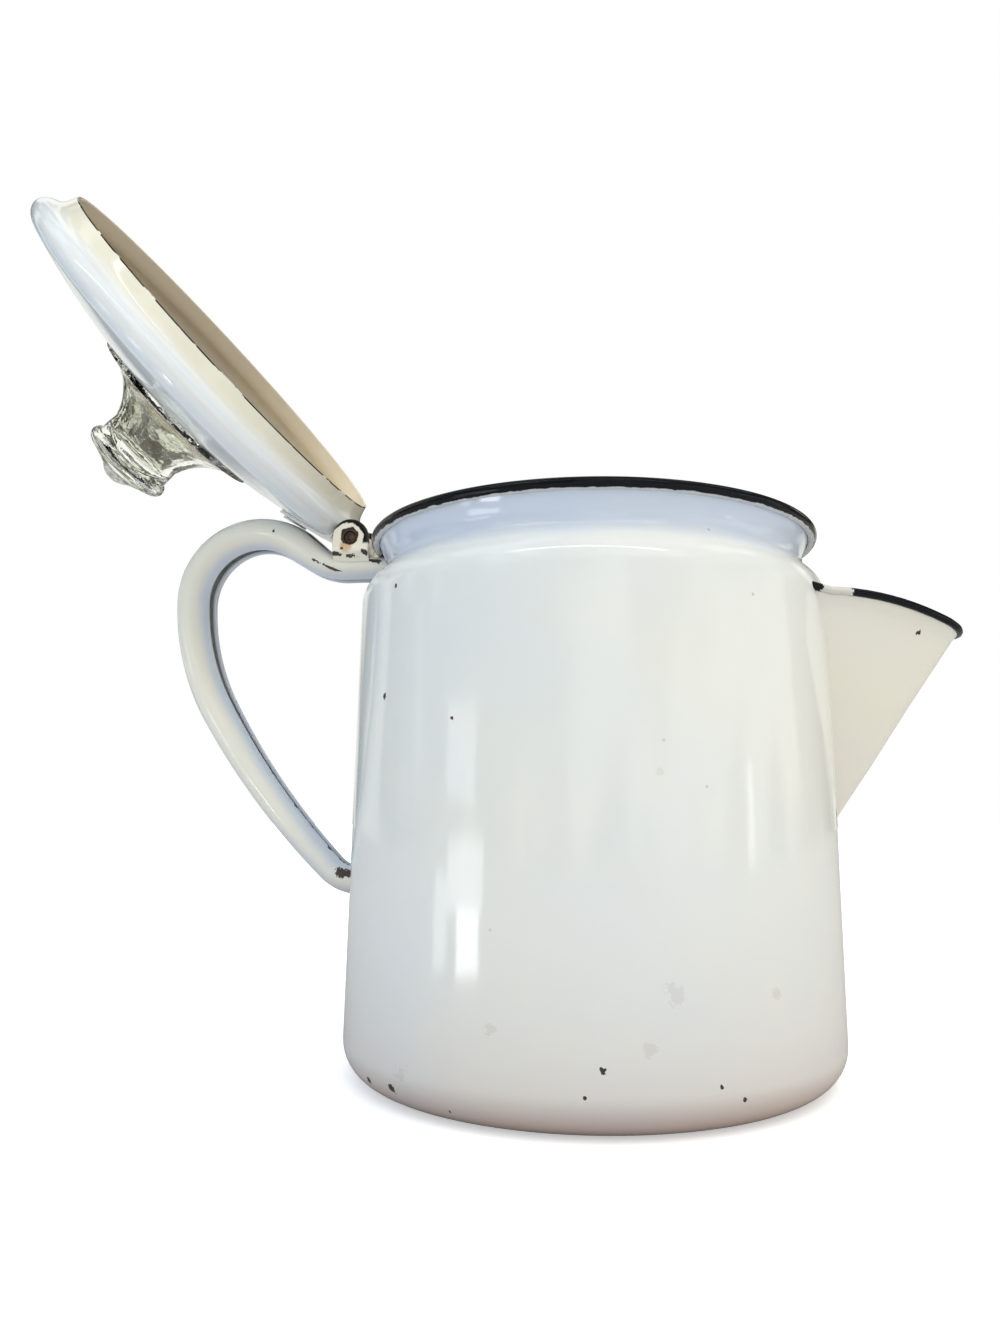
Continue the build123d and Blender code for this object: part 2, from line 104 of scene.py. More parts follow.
def plug(tree, value, socket):
    """Links another node's output to a socket, or gives the socket a plain value."""
    if isinstance(value, bpy.types.NodeSocket):
        tree.links.new(value, socket)
    else:
        socket.default_value = value


def add_node(tree, kind, **sockets):
    """Adds a node and sets its sockets by name."""
    node = tree.nodes.new(kind)
    for name, value in sockets.items():
        plug(tree, value, node.inputs[name.replace("_", " ")])
    return node


def add_maths(tree, operation, *values, clamp=False, kind="ShaderNodeMath"):
    """One calculation with numbers, or with vectors if the kind of node says so."""
    node = tree.nodes.new(kind)
    node.operation = operation
    if clamp:
        node.use_clamp = True
    for value, socket in zip(values, [s for s in node.inputs if s.enabled]):
        plug(tree, value, socket)
    return next(s for s in node.outputs if s.enabled)


def add_noise(tree, place, scale, detail=3.0):
    """Noise in object space: scale is the number of patches in a metre."""
    sockets = {"Vector": place, "Scale": scale, "Detail": detail, "Roughness": 0.55}
    return add_node(tree, "ShaderNodeTexNoise", **sockets).outputs["Fac"]


def add_uneven(tree, value, place, scale, detail, amount):
    """A value with noise added, so that what depends on it gets a ragged limit."""
    return add_maths(tree, "MULTIPLY_ADD", add_noise(tree, place, scale, detail), amount, value)


def add_step(tree, value, low, high, first=0.0, last=1.0):
    """The first value below low, the last above high and smooth between."""
    node = tree.nodes.new("ShaderNodeMapRange")
    node.interpolation_type = "SMOOTHSTEP"
    for name, number in zip(("From Min", "From Max", "To Min", "To Max"), (low, high, first, last)):
        node.inputs[name].default_value = number
    tree.links.new(value, node.inputs["Value"])
    return node.outputs["Result"]


def mix_colours(tree, amount, first, second):
    """Mixes two colours or colour sockets."""
    node = tree.nodes.new("ShaderNodeMix")
    node.data_type = "RGBA"
    for value, socket in zip((amount, first, second), [s for s in node.inputs if s.enabled]):
        if isinstance(value, tuple):
            value = (*value, 1)
        plug(tree, value, socket)
    return next(s for s in node.outputs if s.enabled)


def height_of(tree, place):
    """How high a place is above the pot's foot."""
    return add_node(tree, "ShaderNodeSeparateXYZ", Vector=place).outputs["Z"]


def set_surface(tree, shader, colour, roughness, height, strength, distance):
    """Gives the shader its colour, its roughness and fine relief, a distance in metres deep."""
    bump = add_node(tree, "ShaderNodeBump", Height=height, Strength=strength, Distance=distance)
    plug(tree, colour, shader.inputs["Base Color"])
    plug(tree, roughness, shader.inputs["Roughness"])
    plug(tree, bump.outputs[0], shader.inputs["Normal"])


print("helpers for pieces and nodes are ready")

# %% [markdown]
# The floor is one wide plate. To the camera it adds a little white of its own, so that it meets
# the white background without a line, yet it still takes the pot's shadow. The enamel near the
# pot's foot is a little darker and redder in the picture, so the light that the floor sends
# back is tinted near the pot, and the mirrored floor is darker.

# %% Floor
FLOOR_HALF_WIDTH = 4.0
TINTED_REACH, GLOW_REACH, GLOW_LEVELS, MIRRORED_GLOW = (0.085, 0.17), (0.15, 0.9), (0.45, 0.85), 0.15
PALE, REDDISH, MIRRORED_FLOOR = (0.82, 0.82, 0.82), (0.40, 0.26, 0.23), (0.42, 0.39, 0.37)
bm = bmesh.new()
bmesh.ops.create_grid(bm, x_segments=1, y_segments=1, size=FLOOR_HALF_WIDTH)
floor = link_piece("floor", bm)
floor_white, tree, shader, place = start_material("floor white")
path = tree.nodes.new("ShaderNodeLightPath").outputs
away = add_maths(tree, "LENGTH", place, kind=VECTOR)
near = add_step(tree, away, *TINTED_REACH, 1.0, 0.0)
near_and_diffuse = add_maths(tree, "MULTIPLY", near, path["Is Diffuse Ray"])
tinted = mix_colours(tree, near_and_diffuse, PALE, REDDISH)
plug(tree, mix_colours(tree, path["Is Glossy Ray"], tinted, MIRRORED_FLOOR), shader.inputs["Base Color"])
shader.inputs["Roughness"].default_value = 0.9
shader.inputs["Specular IOR Level"].default_value = 0.0
seen = add_maths(tree, "MAXIMUM", path["Is Camera Ray"], path["Is Transmission Ray"])
seen = add_maths(tree, "MAXIMUM", seen, add_maths(tree, "MULTIPLY", path["Is Glossy Ray"], MIRRORED_GLOW))
glow_level = add_step(tree, away, *GLOW_REACH, *GLOW_LEVELS)
glow = add_node(tree, "ShaderNodeEmission", Strength=add_maths(tree, "MULTIPLY", glow_level, seen))
join = tree.nodes.new("ShaderNodeAddShader")
tree.links.new(shader.outputs[0], join.inputs[0])
tree.links.new(glow.outputs[0], join.inputs[1])
tree.links.new(join.outputs[0], tree.nodes["Material Output"].inputs["Surface"])
floor.data.materials.append(floor_white)
print("floor", round(floor.dimensions.x, 2), "m wide")

# %% [markdown]
# The world stands for the bright room: white where the camera sees it, and softer where it
# lights the pot, cool on the side of the handle and warm on the side of the spout, where the
# light came from. Gloss and glass show the white background too, but broken by the dark
# furniture of a room, because nothing makes enamel look wet like the dark parts of what it
# mirrors.

# %% World
LEFT_LIGHT, MIDDLE_LIGHT, RIGHT_LIGHT = (0.58, 0.74, 0.97), (0.88, 0.94, 0.94), (1.02, 0.96, 0.82)
DARK_FURNITURE, PALE_WALL = (0.075, 0.066, 0.050), (0.90, 0.92, 0.84)


def add_ramp(tree, value, *stops):
    """Colours along a value: each stop is a place from 0 to 1 and a colour."""
    ramp = tree.nodes.new("ShaderNodeValToRGB")
    elements = ramp.color_ramp.elements
    for _ in stops[2:]:
        elements.new(0.5)
    for element, (position, colour) in zip(elements, stops):
        element.position = position
        element.color = (*colour, 1)
    tree.links.new(value, ramp.inputs[0])
    return ramp.outputs[0]


world = bpy.data.worlds.new("room")
bpy.context.scene.world = world
world.use_nodes = True
tree = world.node_tree
path = tree.nodes.new("ShaderNodeLightPath").outputs
where = tree.nodes.new("ShaderNodeTexCoord").outputs["Generated"]
aside = add_node(tree, "ShaderNodeSeparateXYZ", Vector=where).outputs["X"]
aside = add_maths(tree, "MULTIPLY_ADD", aside, 0.5, 0.5)
lighting = add_ramp(tree, aside, (0.0, LEFT_LIGHT), (0.5, MIDDLE_LIGHT), (1.0, RIGHT_LIGHT))
room = add_ramp(tree, add_noise(tree, where, 3.2, 1.0), (0.48, DARK_FURNITURE), (0.60, PALE_WALL))
mirrored = add_maths(tree, "MAXIMUM", path["Is Glossy Ray"], path["Is Transmission Ray"])
colour = mix_colours(tree, mirrored, lighting, room)
colour = mix_colours(tree, path["Is Camera Ray"], colour, (1, 1, 1))
tree.links.new(colour, tree.nodes["Background"].inputs["Color"])
print("the world is a room, dark furniture", DARK_FURNITURE)

# %% [markdown]
# A wide lamp overhead adds soft light. The other lamps give no light at all and are only
# mirrored in the enamel: each stands where the pot would mirror it to the camera, which is
# along the direction that a billiard ball would take from the pot. One line of the table is
# one such lamp: the spot on the pot, the direction from it, how far off the lamp stands, its
# size, its level and its colour.

# %% Lamps
COOL, PLAIN, WARM = (0.90, 0.95, 1), (1, 1, 1), (1, 0.98, 0.94)


def add_lamp(name, place, target, size, power, colour, mirrored=True, lights=True):
    """A rectangular lamp that faces its target. It can be mirrored, or light things, or both."""
    data = bpy.data.lights.new(name, "AREA")
    data.shape = "RECTANGLE"
    data.size, data.size_y = size
    data.energy = power
    data.color = colour
    lamp = link_object(name, data)
    lamp.location = place
    lamp.rotation_euler = (Vector(target) - Vector(place)).to_track_quat("-Z", "Y").to_euler()
    lamp.visible_glossy = mirrored
    lamp.visible_diffuse = lights


add_lamp("overhead", (0.3, -0.5, 1.4), (0, 0, 0.1), (1.6, 1.2), 10.0, PLAIN, mirrored=False)
for name, spot, aim, reach, size, level, colour in (
    ("window top", (-0.0315, -0.0715, 0.0992), (-0.843, -0.530, 0.089), 0.90, (0.25, 0.118), 2.1, COOL),
    ("window foot", (-0.0299, -0.0729, 0.0660), (-0.813, -0.581, -0.031), 0.50, (0.17, 0.056), 3.6, COOL),
    ("sill", (-0.0291, -0.0737, 0.0480), (-0.791, -0.605, -0.096), 0.30, (0.063, 0.036), 8.0, COOL),
    ("frame", (-0.0372, -0.0698, 0.0536), (-0.919, -0.386, -0.078), 0.30, (0.041, 0.053), 2.6, COOL),
    ("gap", (0.0456, -0.0639, 0.0825), (0.974, -0.224, 0.025), 0.90, (0.055, 0.112), 2.6, WARM),
    ("ceiling", (0.0, -0.0760, 0.1530), (0.0, -0.560, 0.810), 1.10, (1.3, 0.07), 5.0, PLAIN),
):
    stand = Vector(spot) + Vector(aim).normalized() * reach
    add_lamp(name, stand, spot, size, level * pi * size[0] * size[1], colour, lights=False)

# %% [markdown]
# Nearly every piece of the pot was drawn or spun from round sheet, so nearly every piece here
# starts as half a section, drawn with a single point that walks along lines and round arcs,
# and is then spun about the pot's upright axis. The helpers below are that pencil. Sizes are
# given in millimetres, as a maker would, and turned into metres in one place.

# %% Drawing helpers
FULL_TURN = 2 * pi


def pen_down(bm, x, z):
    """First point of a section, in the plane of X and Z."""
    return bm.verts.new((x * MM, 0, z * MM))


def line_to(bm, pen, x, z, steps=1):
    """Draws a straight line from the pen and returns its last point."""
    goal = Vector((x * MM, 0, z * MM))
    stride = (goal - pen.co) / steps
    for _ in range(steps):
        pen = bmesh.ops.extrude_vert_indiv(bm, verts=[pen])["verts"][0]
        pen.co += stride
    return pen


def arc_round(bm, pen, x, z, turn, steps):
    """Draws an arc about a centre. A positive turn goes from +X towards +Z."""
    made = bmesh.ops.spin(
        bm, geom=[pen], cent=(x * MM, 0, z * MM), axis=(0, -1, 0),
        dvec=(0, 0, 0), angle=radians(turn), steps=steps,
    )
    return next(v for v in made["geom_last"] if isinstance(v, bmesh.types.BMVert))


def arc_along(bm, pen, heading, x, z, steps):
    """Draws an arc that leaves the pen along a heading in degrees and ends at x, z."""
    chord = Vector((x * MM, 0, z * MM)) - pen.co
    bend = (degrees(atan2(chord.z, chord.x)) - heading + 180) % 360 - 180
    radius = chord.length / (2 * sin(radians(bend)))
    side = Vector((-sin(radians(heading)), 0, cos(radians(heading))))
    centre = pen.co + side * radius
    return arc_round(bm, pen, centre.x / MM, centre.z / MM, 2 * bend, steps)


def spin_round(bm, steps=160):
    """Spins all that was drawn once round the upright axis and closes the seam and poles."""
    bmesh.ops.spin(
        bm, geom=bm.verts[:] + bm.edges[:], cent=(0, 0, 0), axis=(0, 0, 1),
        angle=FULL_TURN, steps=steps, use_merge=True,
    )
    bmesh.ops.remove_doubles(bm, verts=bm.verts[:], dist=1e-6)
    bmesh.ops.recalc_face_normals(bm, faces=bm.faces[:])


def ease_section(bm, corner, reach, passes):
    """Rounds a section's corner: the points within reach of it are smoothed a few times."""
    near = [v for v in bm.verts if (v.co - corner).length < reach * MM]
    for _ in range(passes):
        bmesh.ops.smooth_vert(bm, verts=near, factor=0.5, use_axis_x=True, use_axis_z=True)


print("sections are drawn in millimetres, and 1 mm is", MM, "m")

# %% [markdown]
# A spun skin has no thickness yet, and it may be inside out. The next helpers turn it the right
# way, give it the thickness of its sheet, cut or join shapes, and round the cut edges. Each
# change is a modifier that is applied at once, so that the finished piece is a plain mesh. The
# last helper gives a piece its finish, the body it rides on and the solids it stands for.

# %% Sheet helpers
def turn_outwards(bm, spot, towards):
    """Flips every face if the one nearest the spot looks away from towards."""
    bm.faces.ensure_lookup_table()
    near = min(bm.faces, key=lambda f: (f.calc_center_median() - Vector(spot) * MM).length)
    if near.normal.dot(Vector(towards)) < 0:
        bmesh.ops.reverse_faces(bm, faces=bm.faces[:])


def mesh_of(piece):
    """The mesh that a piece shows, with all its modifiers."""
    graph = bpy.context.evaluated_depsgraph_get()
    return bpy.data.meshes.new_from_object(piece.evaluated_get(graph))


def apply_modifiers(piece):
    """Replaces the piece's mesh by the one that its modifiers make."""
    piece.data = mesh_of(piece)
    piece.modifiers.clear()


def join_shape(piece, other, operation, keep=False):
    """Cuts the other shape out of the piece or joins the two, and removes the other."""
    change = piece.modifiers.new("shape", "BOOLEAN")
    change.object, change.operation, change.solver = other, operation, "EXACT"
    apply_modifiers(piece)
    if not keep:
        bpy.data.objects.remove(other)


def round_edges(piece, width, segments, from_angle):
    """Rounds the sharp edges of a piece by a width in millimetres."""
    soften = piece.modifiers.new("soft edges", "BEVEL")
    soften.width, soften.segments, soften.limit_method = width * MM, segments, "ANGLE"
    soften.angle_limit = radians(from_angle)
    apply_modifiers(piece)


def give_wall(piece, thickness):
    """Thickens a skin inwards, as sheet metal of this thickness in millimetres."""
    wall = piece.modifiers.new("sheet", "SOLIDIFY")
    wall.thickness = thickness * MM
    wall.offset = -1
    wall.use_even_offset = True
    apply_modifiers(piece)


def finish_piece(piece, body, slot, nodes, *finishes, angle=40):
    """Shades the piece, gives it its finishes and its place in the frame."""
    for finish in finishes:
        piece.data.materials.append(finish)
    piece.data.shade_smooth()
    piece.data.set_sharp_from_angle(angle=radians(angle))
    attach(piece, body)
    if nodes:
        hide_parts(*nodes)
    print(piece.name, len(piece.data.polygons), "faces")
    return piece


print("helpers for sheet metal are ready")

# %% [markdown]
# White enamel is a thin layer of opaque glass. It is bright and hard, and mirrors the room
# weakly but sharply. Old enamel is never one flat white: it is a little creamy where it is
# thick, a little grey where the dark ground coat shines through, its surface is very slightly
# wavy, and it has pinholes and fly specks. The chips are dark, because the steel under them
# was blued by the heat and has rusted since. A chip is a mask: the distance from a point on
# the pot, roughened with noise, so that its edge is ragged.

# %% Chips
CHIP_EDGE = (0.92, 1.04)


def reach_from(tree, place, start, end=None):
    """Distance from a point in millimetres, or from the line between two points."""
    away = add_maths(tree, "SUBTRACT", place, Vector(start) * MM, kind=VECTOR)
    if end:
        line = (Vector(end) - Vector(start)) * MM
        share = add_maths(tree, "DOT_PRODUCT", away, line / line.length_squared, kind=VECTOR)
        share = add_maths(tree, "ADD", share, 0.0, clamp=True)
        nearest = add_maths(tree, "SCALE", line, share, kind=VECTOR)
        away = add_maths(tree, "SUBTRACT", away, nearest, kind=VECTOR)
    return add_maths(tree, "LENGTH", away, kind=VECTOR)


def add_chips(tree, place, chips, ragged=1.5):
    """1 inside ragged chips, each a radius, a point and perhaps a second point, in millimetres."""
    both = add_maths(tree, "ADD", add_noise(tree, place, 1300.0, 2.0), add_noise(tree, place, 420.0, 2.0))
    low, high = (level + ragged for level in CHIP_EDGE)
    mask = None
    for radius, *points in chips:
        share = add_maths(tree, "DIVIDE", reach_from(tree, place, *points), radius * MM)
        edge = add_maths(tree, "MULTIPLY_ADD", both, ragged, share)
        inside = add_step(tree, edge, low, high, 1.0, 0.0)
        mask = inside if mask is None else add_maths(tree, "MAXIMUM", mask, inside)
    return mask


print("a chip fades out between", CHIP_EDGE, "of its radius")

# %% [markdown]
# The white is mixed from a warm and a cool tone in broad clouds. A piece that needs more, such
# as the neck with its painted shade or the stained lid with its painted reflections, hands in a
# function that tints the colour further. Then come smudges, fly specks and chips, which show
# dark steel and are rough and a little deeper.

# %% White enamel
BARE_STEEL, RUSTED = (0.012, 0.011, 0.012), (0.085, 0.05, 0.032)
SMUDGE, SMUDGE_SHARE, SMUDGE_RAGGED = (0.33, 0.29, 0.22), 0.16, 2.6
SPECK, SPECK_SHARE = (0.16, 0.14, 0.11), 0.35
WARM_WHITE, COOL_WHITE = (0.79, 0.775, 0.715), (0.745, 0.755, 0.745)


def add_specks(tree, place, colour):
    """Small fly specks, in a few patches only."""
    cells = add_node(tree, "ShaderNodeTexVoronoi", Vector=place, Scale=110.0)
    rare = add_step(tree, add_noise(tree, place, 60.0, 0.0), 0.66, 0.72)
    dot = add_step(tree, cells.outputs["Distance"], 0.035, 0.07, 1.0, 0.0)
    fleck = add_maths(tree, "MULTIPLY", add_maths(tree, "MULTIPLY", dot, rare), SPECK_SHARE)
    return mix_colours(tree, fleck, colour, SPECK)


def enamel(name, chips=(), smudges=(), light=WARM_WHITE, cool=COOL_WHITE, specks=True, tint=None):
    """White enamel with chips and faint smudges at the places given, tinted by a function."""
    material, tree, shader, place = start_material(name)
    cloud = add_step(tree, add_noise(tree, place, 14.0, 4.0), 0.3, 0.7)
    colour = mix_colours(tree, cloud, light, cool)
    if tint:
        colour = tint(tree, place, colour)
    if smudges:
        dirt = add_chips(tree, place, smudges, SMUDGE_RAGGED)
        colour = mix_colours(tree, add_maths(tree, "MULTIPLY", dirt, SMUDGE_SHARE), colour, SMUDGE)
    if specks:
        colour = add_specks(tree, place, colour)
    roughness = add_maths(tree, "MULTIPLY_ADD", add_noise(tree, place, 35.0), 0.10, 0.045)
    height = add_noise(tree, place, 38.0, 2.0)
    if chips:
        mask = add_chips(tree, place, chips)
        steel = mix_colours(tree, add_noise(tree, place, 700.0), BARE_STEEL, RUSTED)
        colour = mix_colours(tree, mask, colour, steel)
        roughness = add_maths(tree, "MULTIPLY_ADD", mask, 0.45, roughness, clamp=True)
        height = add_maths(tree, "MULTIPLY_ADD", mask, -0.6, height)
    set_surface(tree, shader, colour, roughness, height, 0.35, 0.0004)
    shader.inputs["IOR"].default_value = 1.55
    return material


print("white is mixed from", WARM_WHITE, "and", COOL_WHITE)

# %% [markdown]
# The black of the rolled edges was brushed on last. It is so dark that only its shine shows its
# form. Its chips go down to the white, and on the rim it ends raggedly at a height.

# %% Black enamel
DEEP_BLACK, SOFT_BLACK = (0.003, 0.0035, 0.005), (0.009, 0.010, 0.014)
CHIPPED_WHITE, WHITE_UNDER = (0.62, 0.60, 0.55), (0.52, 0.53, 0.53)


def edge_enamel(name, chips=(), white_below=None):
    """Black enamel of the rolled edges, chipped down to the white, or ending at a height."""
    material, tree, shader, place = start_material(name)
    colour = mix_colours(tree, add_noise(tree, place, 90.0), DEEP_BLACK, SOFT_BLACK)
    roughness = add_maths(tree, "MULTIPLY", add_noise(tree, place, 220.0), 0.26)
    if chips:
        mask = add_chips(tree, place, chips)
        colour = mix_colours(tree, mask, colour, CHIPPED_WHITE)
        roughness = add_maths(tree, "MULTIPLY_ADD", mask, 0.25, roughness, clamp=True)
    if white_below:
        level = add_uneven(tree, height_of(tree, place), place, 260.0, 3.0, 0.8 * MM)
        above = add_step(tree, level, (white_below + 0.3) * MM, (white_below + 0.5) * MM)
        colour = mix_colours(tree, above, WHITE_UNDER, colour)
    set_surface(tree, shader, colour, roughness, add_noise(tree, place, 160.0), 0.4, 0.0005)
    shader.inputs["IOR"].default_value = 1.45
    shader.inputs["Specular IOR Level"].default_value = 0.22
    return material


print("black is mixed from", DEEP_BLACK, "and", SOFT_BLACK)

# %% [markdown]
# The pot is one drawn shell. Its half section is drawn from the middle of the base outwards:
# the flat base, the round corner, the straight wall that leans in by a degree or two, the
# round shoulder, and the short neck that bows in and flares out again to the rim. The enamel
# fills the crease under the neck, so the points near it are smoothed before the section is
# spun round the axis and thickened inwards by the sheet. A second, closed copy of the form is
# kept for a while: it is what the spout and the handle are cut with, where they meet the pot.

# %% Pot section
BASE_RADIUS, BASE_CORNER = 80.0, 12.0
SHOULDER_RADIUS, SHOULDER_HEIGHT, SHOULDER_CURVE, SHOULDER_TURN = 77.1, 149.0, 12.5, 68.0
NECK_BOW, FLARE_RADIUS = 0.5, 72.4
CREASE_EASE, EASE_PASSES = 4.5, 14
BEAD_RADIUS, RIM_RADIUS, RIM_HEIGHT = 1.6, 74.5, 173.4
SHEET = 1.0
corner_x, corner_z = BASE_RADIUS - BASE_CORNER, BASE_CORNER
shoulder_x, shoulder_z = SHOULDER_RADIUS - SHOULDER_CURVE, SHOULDER_HEIGHT
across, up = shoulder_x - corner_x, shoulder_z - corner_z
wall_lean = degrees(atan2(-across, up) + asin((BASE_CORNER - SHOULDER_CURVE) / hypot(across, up)))
bead_x, bead_z = RIM_RADIUS - BEAD_RADIUS, RIM_HEIGHT - BEAD_RADIUS


def on_shoulder(turn):
    """The point of the shoulder's arc where it has turned by this many degrees."""
    turn = radians(turn)
    return Vector((shoulder_x + SHOULDER_CURVE * cos(turn), 0, shoulder_z + SHOULDER_CURVE * sin(turn)))


def draw_pot(bm):
    """Half section of the pot's outside, up to the rim's bead."""
    pen = pen_down(bm, 0, 0)
    pen = line_to(bm, pen, corner_x, 0, 4)
    pen = arc_round(bm, pen, corner_x, corner_z, 90 + wall_lean, 12)
    wall_end = on_shoulder(wall_lean)
    pen = line_to(bm, pen, wall_end.x, wall_end.z, 14)
    pen = arc_round(bm, pen, shoulder_x, shoulder_z, SHOULDER_TURN - wall_lean, 12)
    chord = Vector((FLARE_RADIUS, 0, bead_z)) * MM - pen.co
    sag = degrees(atan2(2 * NECK_BOW * 2 ** 0.5 * MM, chord.length))
    heading = degrees(atan2(chord.z, chord.x)) + 2 * sag
    return arc_along(bm, pen, heading, FLARE_RADIUS, bead_z, 12)


bm = bmesh.new()
draw_pot(bm)
ease_section(bm, on_shoulder(SHOULDER_TURN) * MM, CREASE_EASE, EASE_PASSES)
spin_round(bm)
turn_outwards(bm, (78, 0, 80), (1, 0, 0))
pot_shell = link_piece("pot_shell", bm)
give_wall(pot_shell, SHEET)

bm = bmesh.new()
pen = draw_pot(bm)
line_to(bm, pen, 0, bead_z, 2)
spin_round(bm)
pot_core = link_piece("pot_core", bm)
pot_core.hide_render = True
print("wall leans", round(wall_lean, 2), "degrees")

# %% [markdown]
# Behind the spout the wall is a strainer. A triangle of small drills is set up, one row for
# each height, and all of them are cut out of the shell at once.

# %% Strainer holes
STRAINER_HOLE, STRAINER_ROWS = 3.2, 5
STRAINER_HEIGHT, STRAINER_PITCH, STRAINER_TURN = 100.0, 9.5, 6.5
DRILL_REACH, DRILL_LENGTH = 75.0, 20.0
bm = bmesh.new()
for row in range(STRAINER_ROWS):
    level = STRAINER_HEIGHT + row * STRAINER_PITCH
    lay = Matrix.Translation((DRILL_REACH * MM, 0, level * MM)) @ Matrix.Rotation(pi / 2, 4, "Y")
    for place in range(row + 1):
        aim = Matrix.Rotation(radians((place - row / 2) * STRAINER_TURN), 4, "Z")
        bmesh.ops.create_cone(
            bm, cap_ends=True, segments=20, radius1=STRAINER_HOLE / 2 * MM,
            radius2=STRAINER_HOLE / 2 * MM, depth=DRILL_LENGTH * MM, matrix=aim @ lay,
        )
drills = link_piece("drills", bm)
join_shape(pot_shell, drills, "DIFFERENCE")
print("strainer holes", STRAINER_ROWS * (STRAINER_ROWS + 1) // 2)

# %% [markdown]
# Each chip of the pot was found in the picture and carried back onto the wall. The last of them
# is the dark hole in the neck beside the hinge. The neck gets a painted shade, a cool blue-grey
# where the rim shades it.

# %% Pot enamel
NECK_SHADE_BLUE, NECK_SHADE_SHARE = (0.58, 0.65, 0.80), 0.75
pot_chips = (
    (1.1, (-60.9, -49.9, 6.7)), (1.4, (-51.8, -59.5, 7.1)), (1.0, (6.6, -79.6, 18.9)),
    (0.5, (2.1, -80.0, 12.1)), (0.6, (36.4, -71.2, 13.6)), (0.6, (42.4, -67.5, 9.6)),
    (0.6, (-54.7, -54.3, 148.3)), (0.9, (-58.0, -51.8, 116.1)), (0.6, (-34.6, -69.9, 108.0)),
    (0.5, (-33.8, -69.6, 4.6)), (1.9, (-71.9, -11.1, 170.2)),
)
pot_smudges = (
    (2.4, (24.7, -75.5, 36.9)), (1.8, (18.3, -77.6, 23.7)), (1.6, (-22.4, -76.4, 26.9)),
    (1.6, (52.2, -59.9, 35.0)), (1.2, (21.4, -75.2, 93.4)), (2.2, (-48.0, -62.0, 12.0)),
)


def paint_neck_shade(tree, place, colour):
    """Painted shade: a cool blue-grey in the neck, under the rim."""
    level = add_uneven(tree, height_of(tree, place), place, 50.0, 4.0, 6.0 * MM)
    # Painted shade, stronger towards the top of the neck.
    neck = add_step(tree, level, 160.0 * MM, 167.0 * MM, 0.0, NECK_SHADE_SHARE)
    return mix_colours(tree, neck, colour, NECK_SHADE_BLUE)


pot_white = enamel("pot enamel", pot_chips, pot_smudges, tint=paint_neck_shade)
finish_piece(pot_shell, "pot", "enamelled_steel", ["pot_body"], pot_white)

# %% [markdown]
# The rim is the edge of the sheet rolled over a round bead and dipped again in black. A bead
# is a torus: a small circle that is spun about the pot's axis. The black was brushed on from
# above, so it ends raggedly low on the bead, where the white shows again.

# %% Rim bead
ENAMEL_COAT, BLACK_REACH_DOWN = 0.15, 1.45
bm = bmesh.new()
pen = pen_down(bm, bead_x + BEAD_RADIUS + ENAMEL_COAT, bead_z)
arc_round(bm, pen, bead_x, bead_z, 360, 24)
spin_round(bm, 200)
rim_bead = link_piece("rim_bead", bm)
rim_black = edge_enamel("rim enamel", white_below=bead_z - BLACK_REACH_DOWN)
finish_piece(rim_bead, "pot", "enamelled_steel", [], rim_black)

# %% [markdown]
# The spout is a cone of V section with a rounded nose, cut from flat sheet, folded and welded
# to the pot. All its straight lines meet in one point at its foot, so one section is drawn
# at the lip, and the others are the same section at another scale. Above the crease the lip
# flares outwards, and its edge is rolled and black as the rim is.

# %% Spout sections
SPOUT_TIP, SPOUT_TIP_HEIGHT, SPOUT_NOSE, NOSE_HALF_TURN = 117.2, 136.6, 12.0, 60.0
SPOUT_HALF_WIDTH, SPOUT_ROOT, SPOUT_SLOPE = 33.5, 66.0, 10.8
SPOUT_FOOT_RADIUS, SPOUT_FOOT_HEIGHT, SPOUT_FOOT_SCALE = 77.5, 77.5, 0.06
LIP_HEIGHT, LIP_FLARE, LIP_BEAD = 5.0, 3.2, 1.25
LIP_BOW, BOW_START, BOW_END = 2.8, 74.0, 120.4
slope = radians(SPOUT_SLOPE)
root_height = SPOUT_TIP_HEIGHT + SPOUT_TIP * tan(slope)
spout_foot = Vector((SPOUT_FOOT_RADIUS, 0, SPOUT_FOOT_HEIGHT))


def draw_spout_section(bm, scale, lift, grow, bow=0):
    """One V section of the spout, bowed upwards between root and tip. Returns edges, points."""
    nose = SPOUT_NOSE * scale + grow
    centre = (SPOUT_TIP / cos(slope) - SPOUT_NOSE) * scale
    root_x, root_y = SPOUT_ROOT / cos(slope) * scale, SPOUT_HALF_WIDTH * scale + grow
    before = set(bm.verts)
    old_edges = set(bm.edges)
    pen = pen_down(bm, root_x, -root_y)
    reach = Vector((centre + nose * cos(radians(NOSE_HALF_TURN)), -nose * sin(radians(NOSE_HALF_TURN))))
    chord = degrees(atan2(reach.y + root_y, reach.x - root_x))
    leave = 2 * chord - (90 - NOSE_HALF_TURN)
    pen = arc_along(bm, pen, leave, reach.x, reach.y, 12)
    pen = arc_round(bm, pen, centre, 0, 2 * NOSE_HALF_TURN, 16)
    arc_along(bm, pen, 90 + NOSE_HALF_TURN, root_x, root_y, 12)
    made = [v for v in bm.verts if v not in before]
    lay_flat = Matrix.Rotation(-pi / 2, 4, "X")
    origin = spout_foot + (Vector((0, 0, root_height)) - spout_foot) * scale + Vector((0, 0, lift))
    place = Matrix.Translation(origin * MM) @ Matrix.Rotation(slope, 4, "Y") @ lay_flat
    bmesh.ops.transform(bm, matrix=place, verts=made)
    for vert in made:
        share = min(max((vert.co.x / MM - BOW_START) / (BOW_END - BOW_START), 0), 1)
        vert.co.z += bow * MM * 4 * share * (1 - share)
    return [e for e in bm.edges if e not in old_edges], made


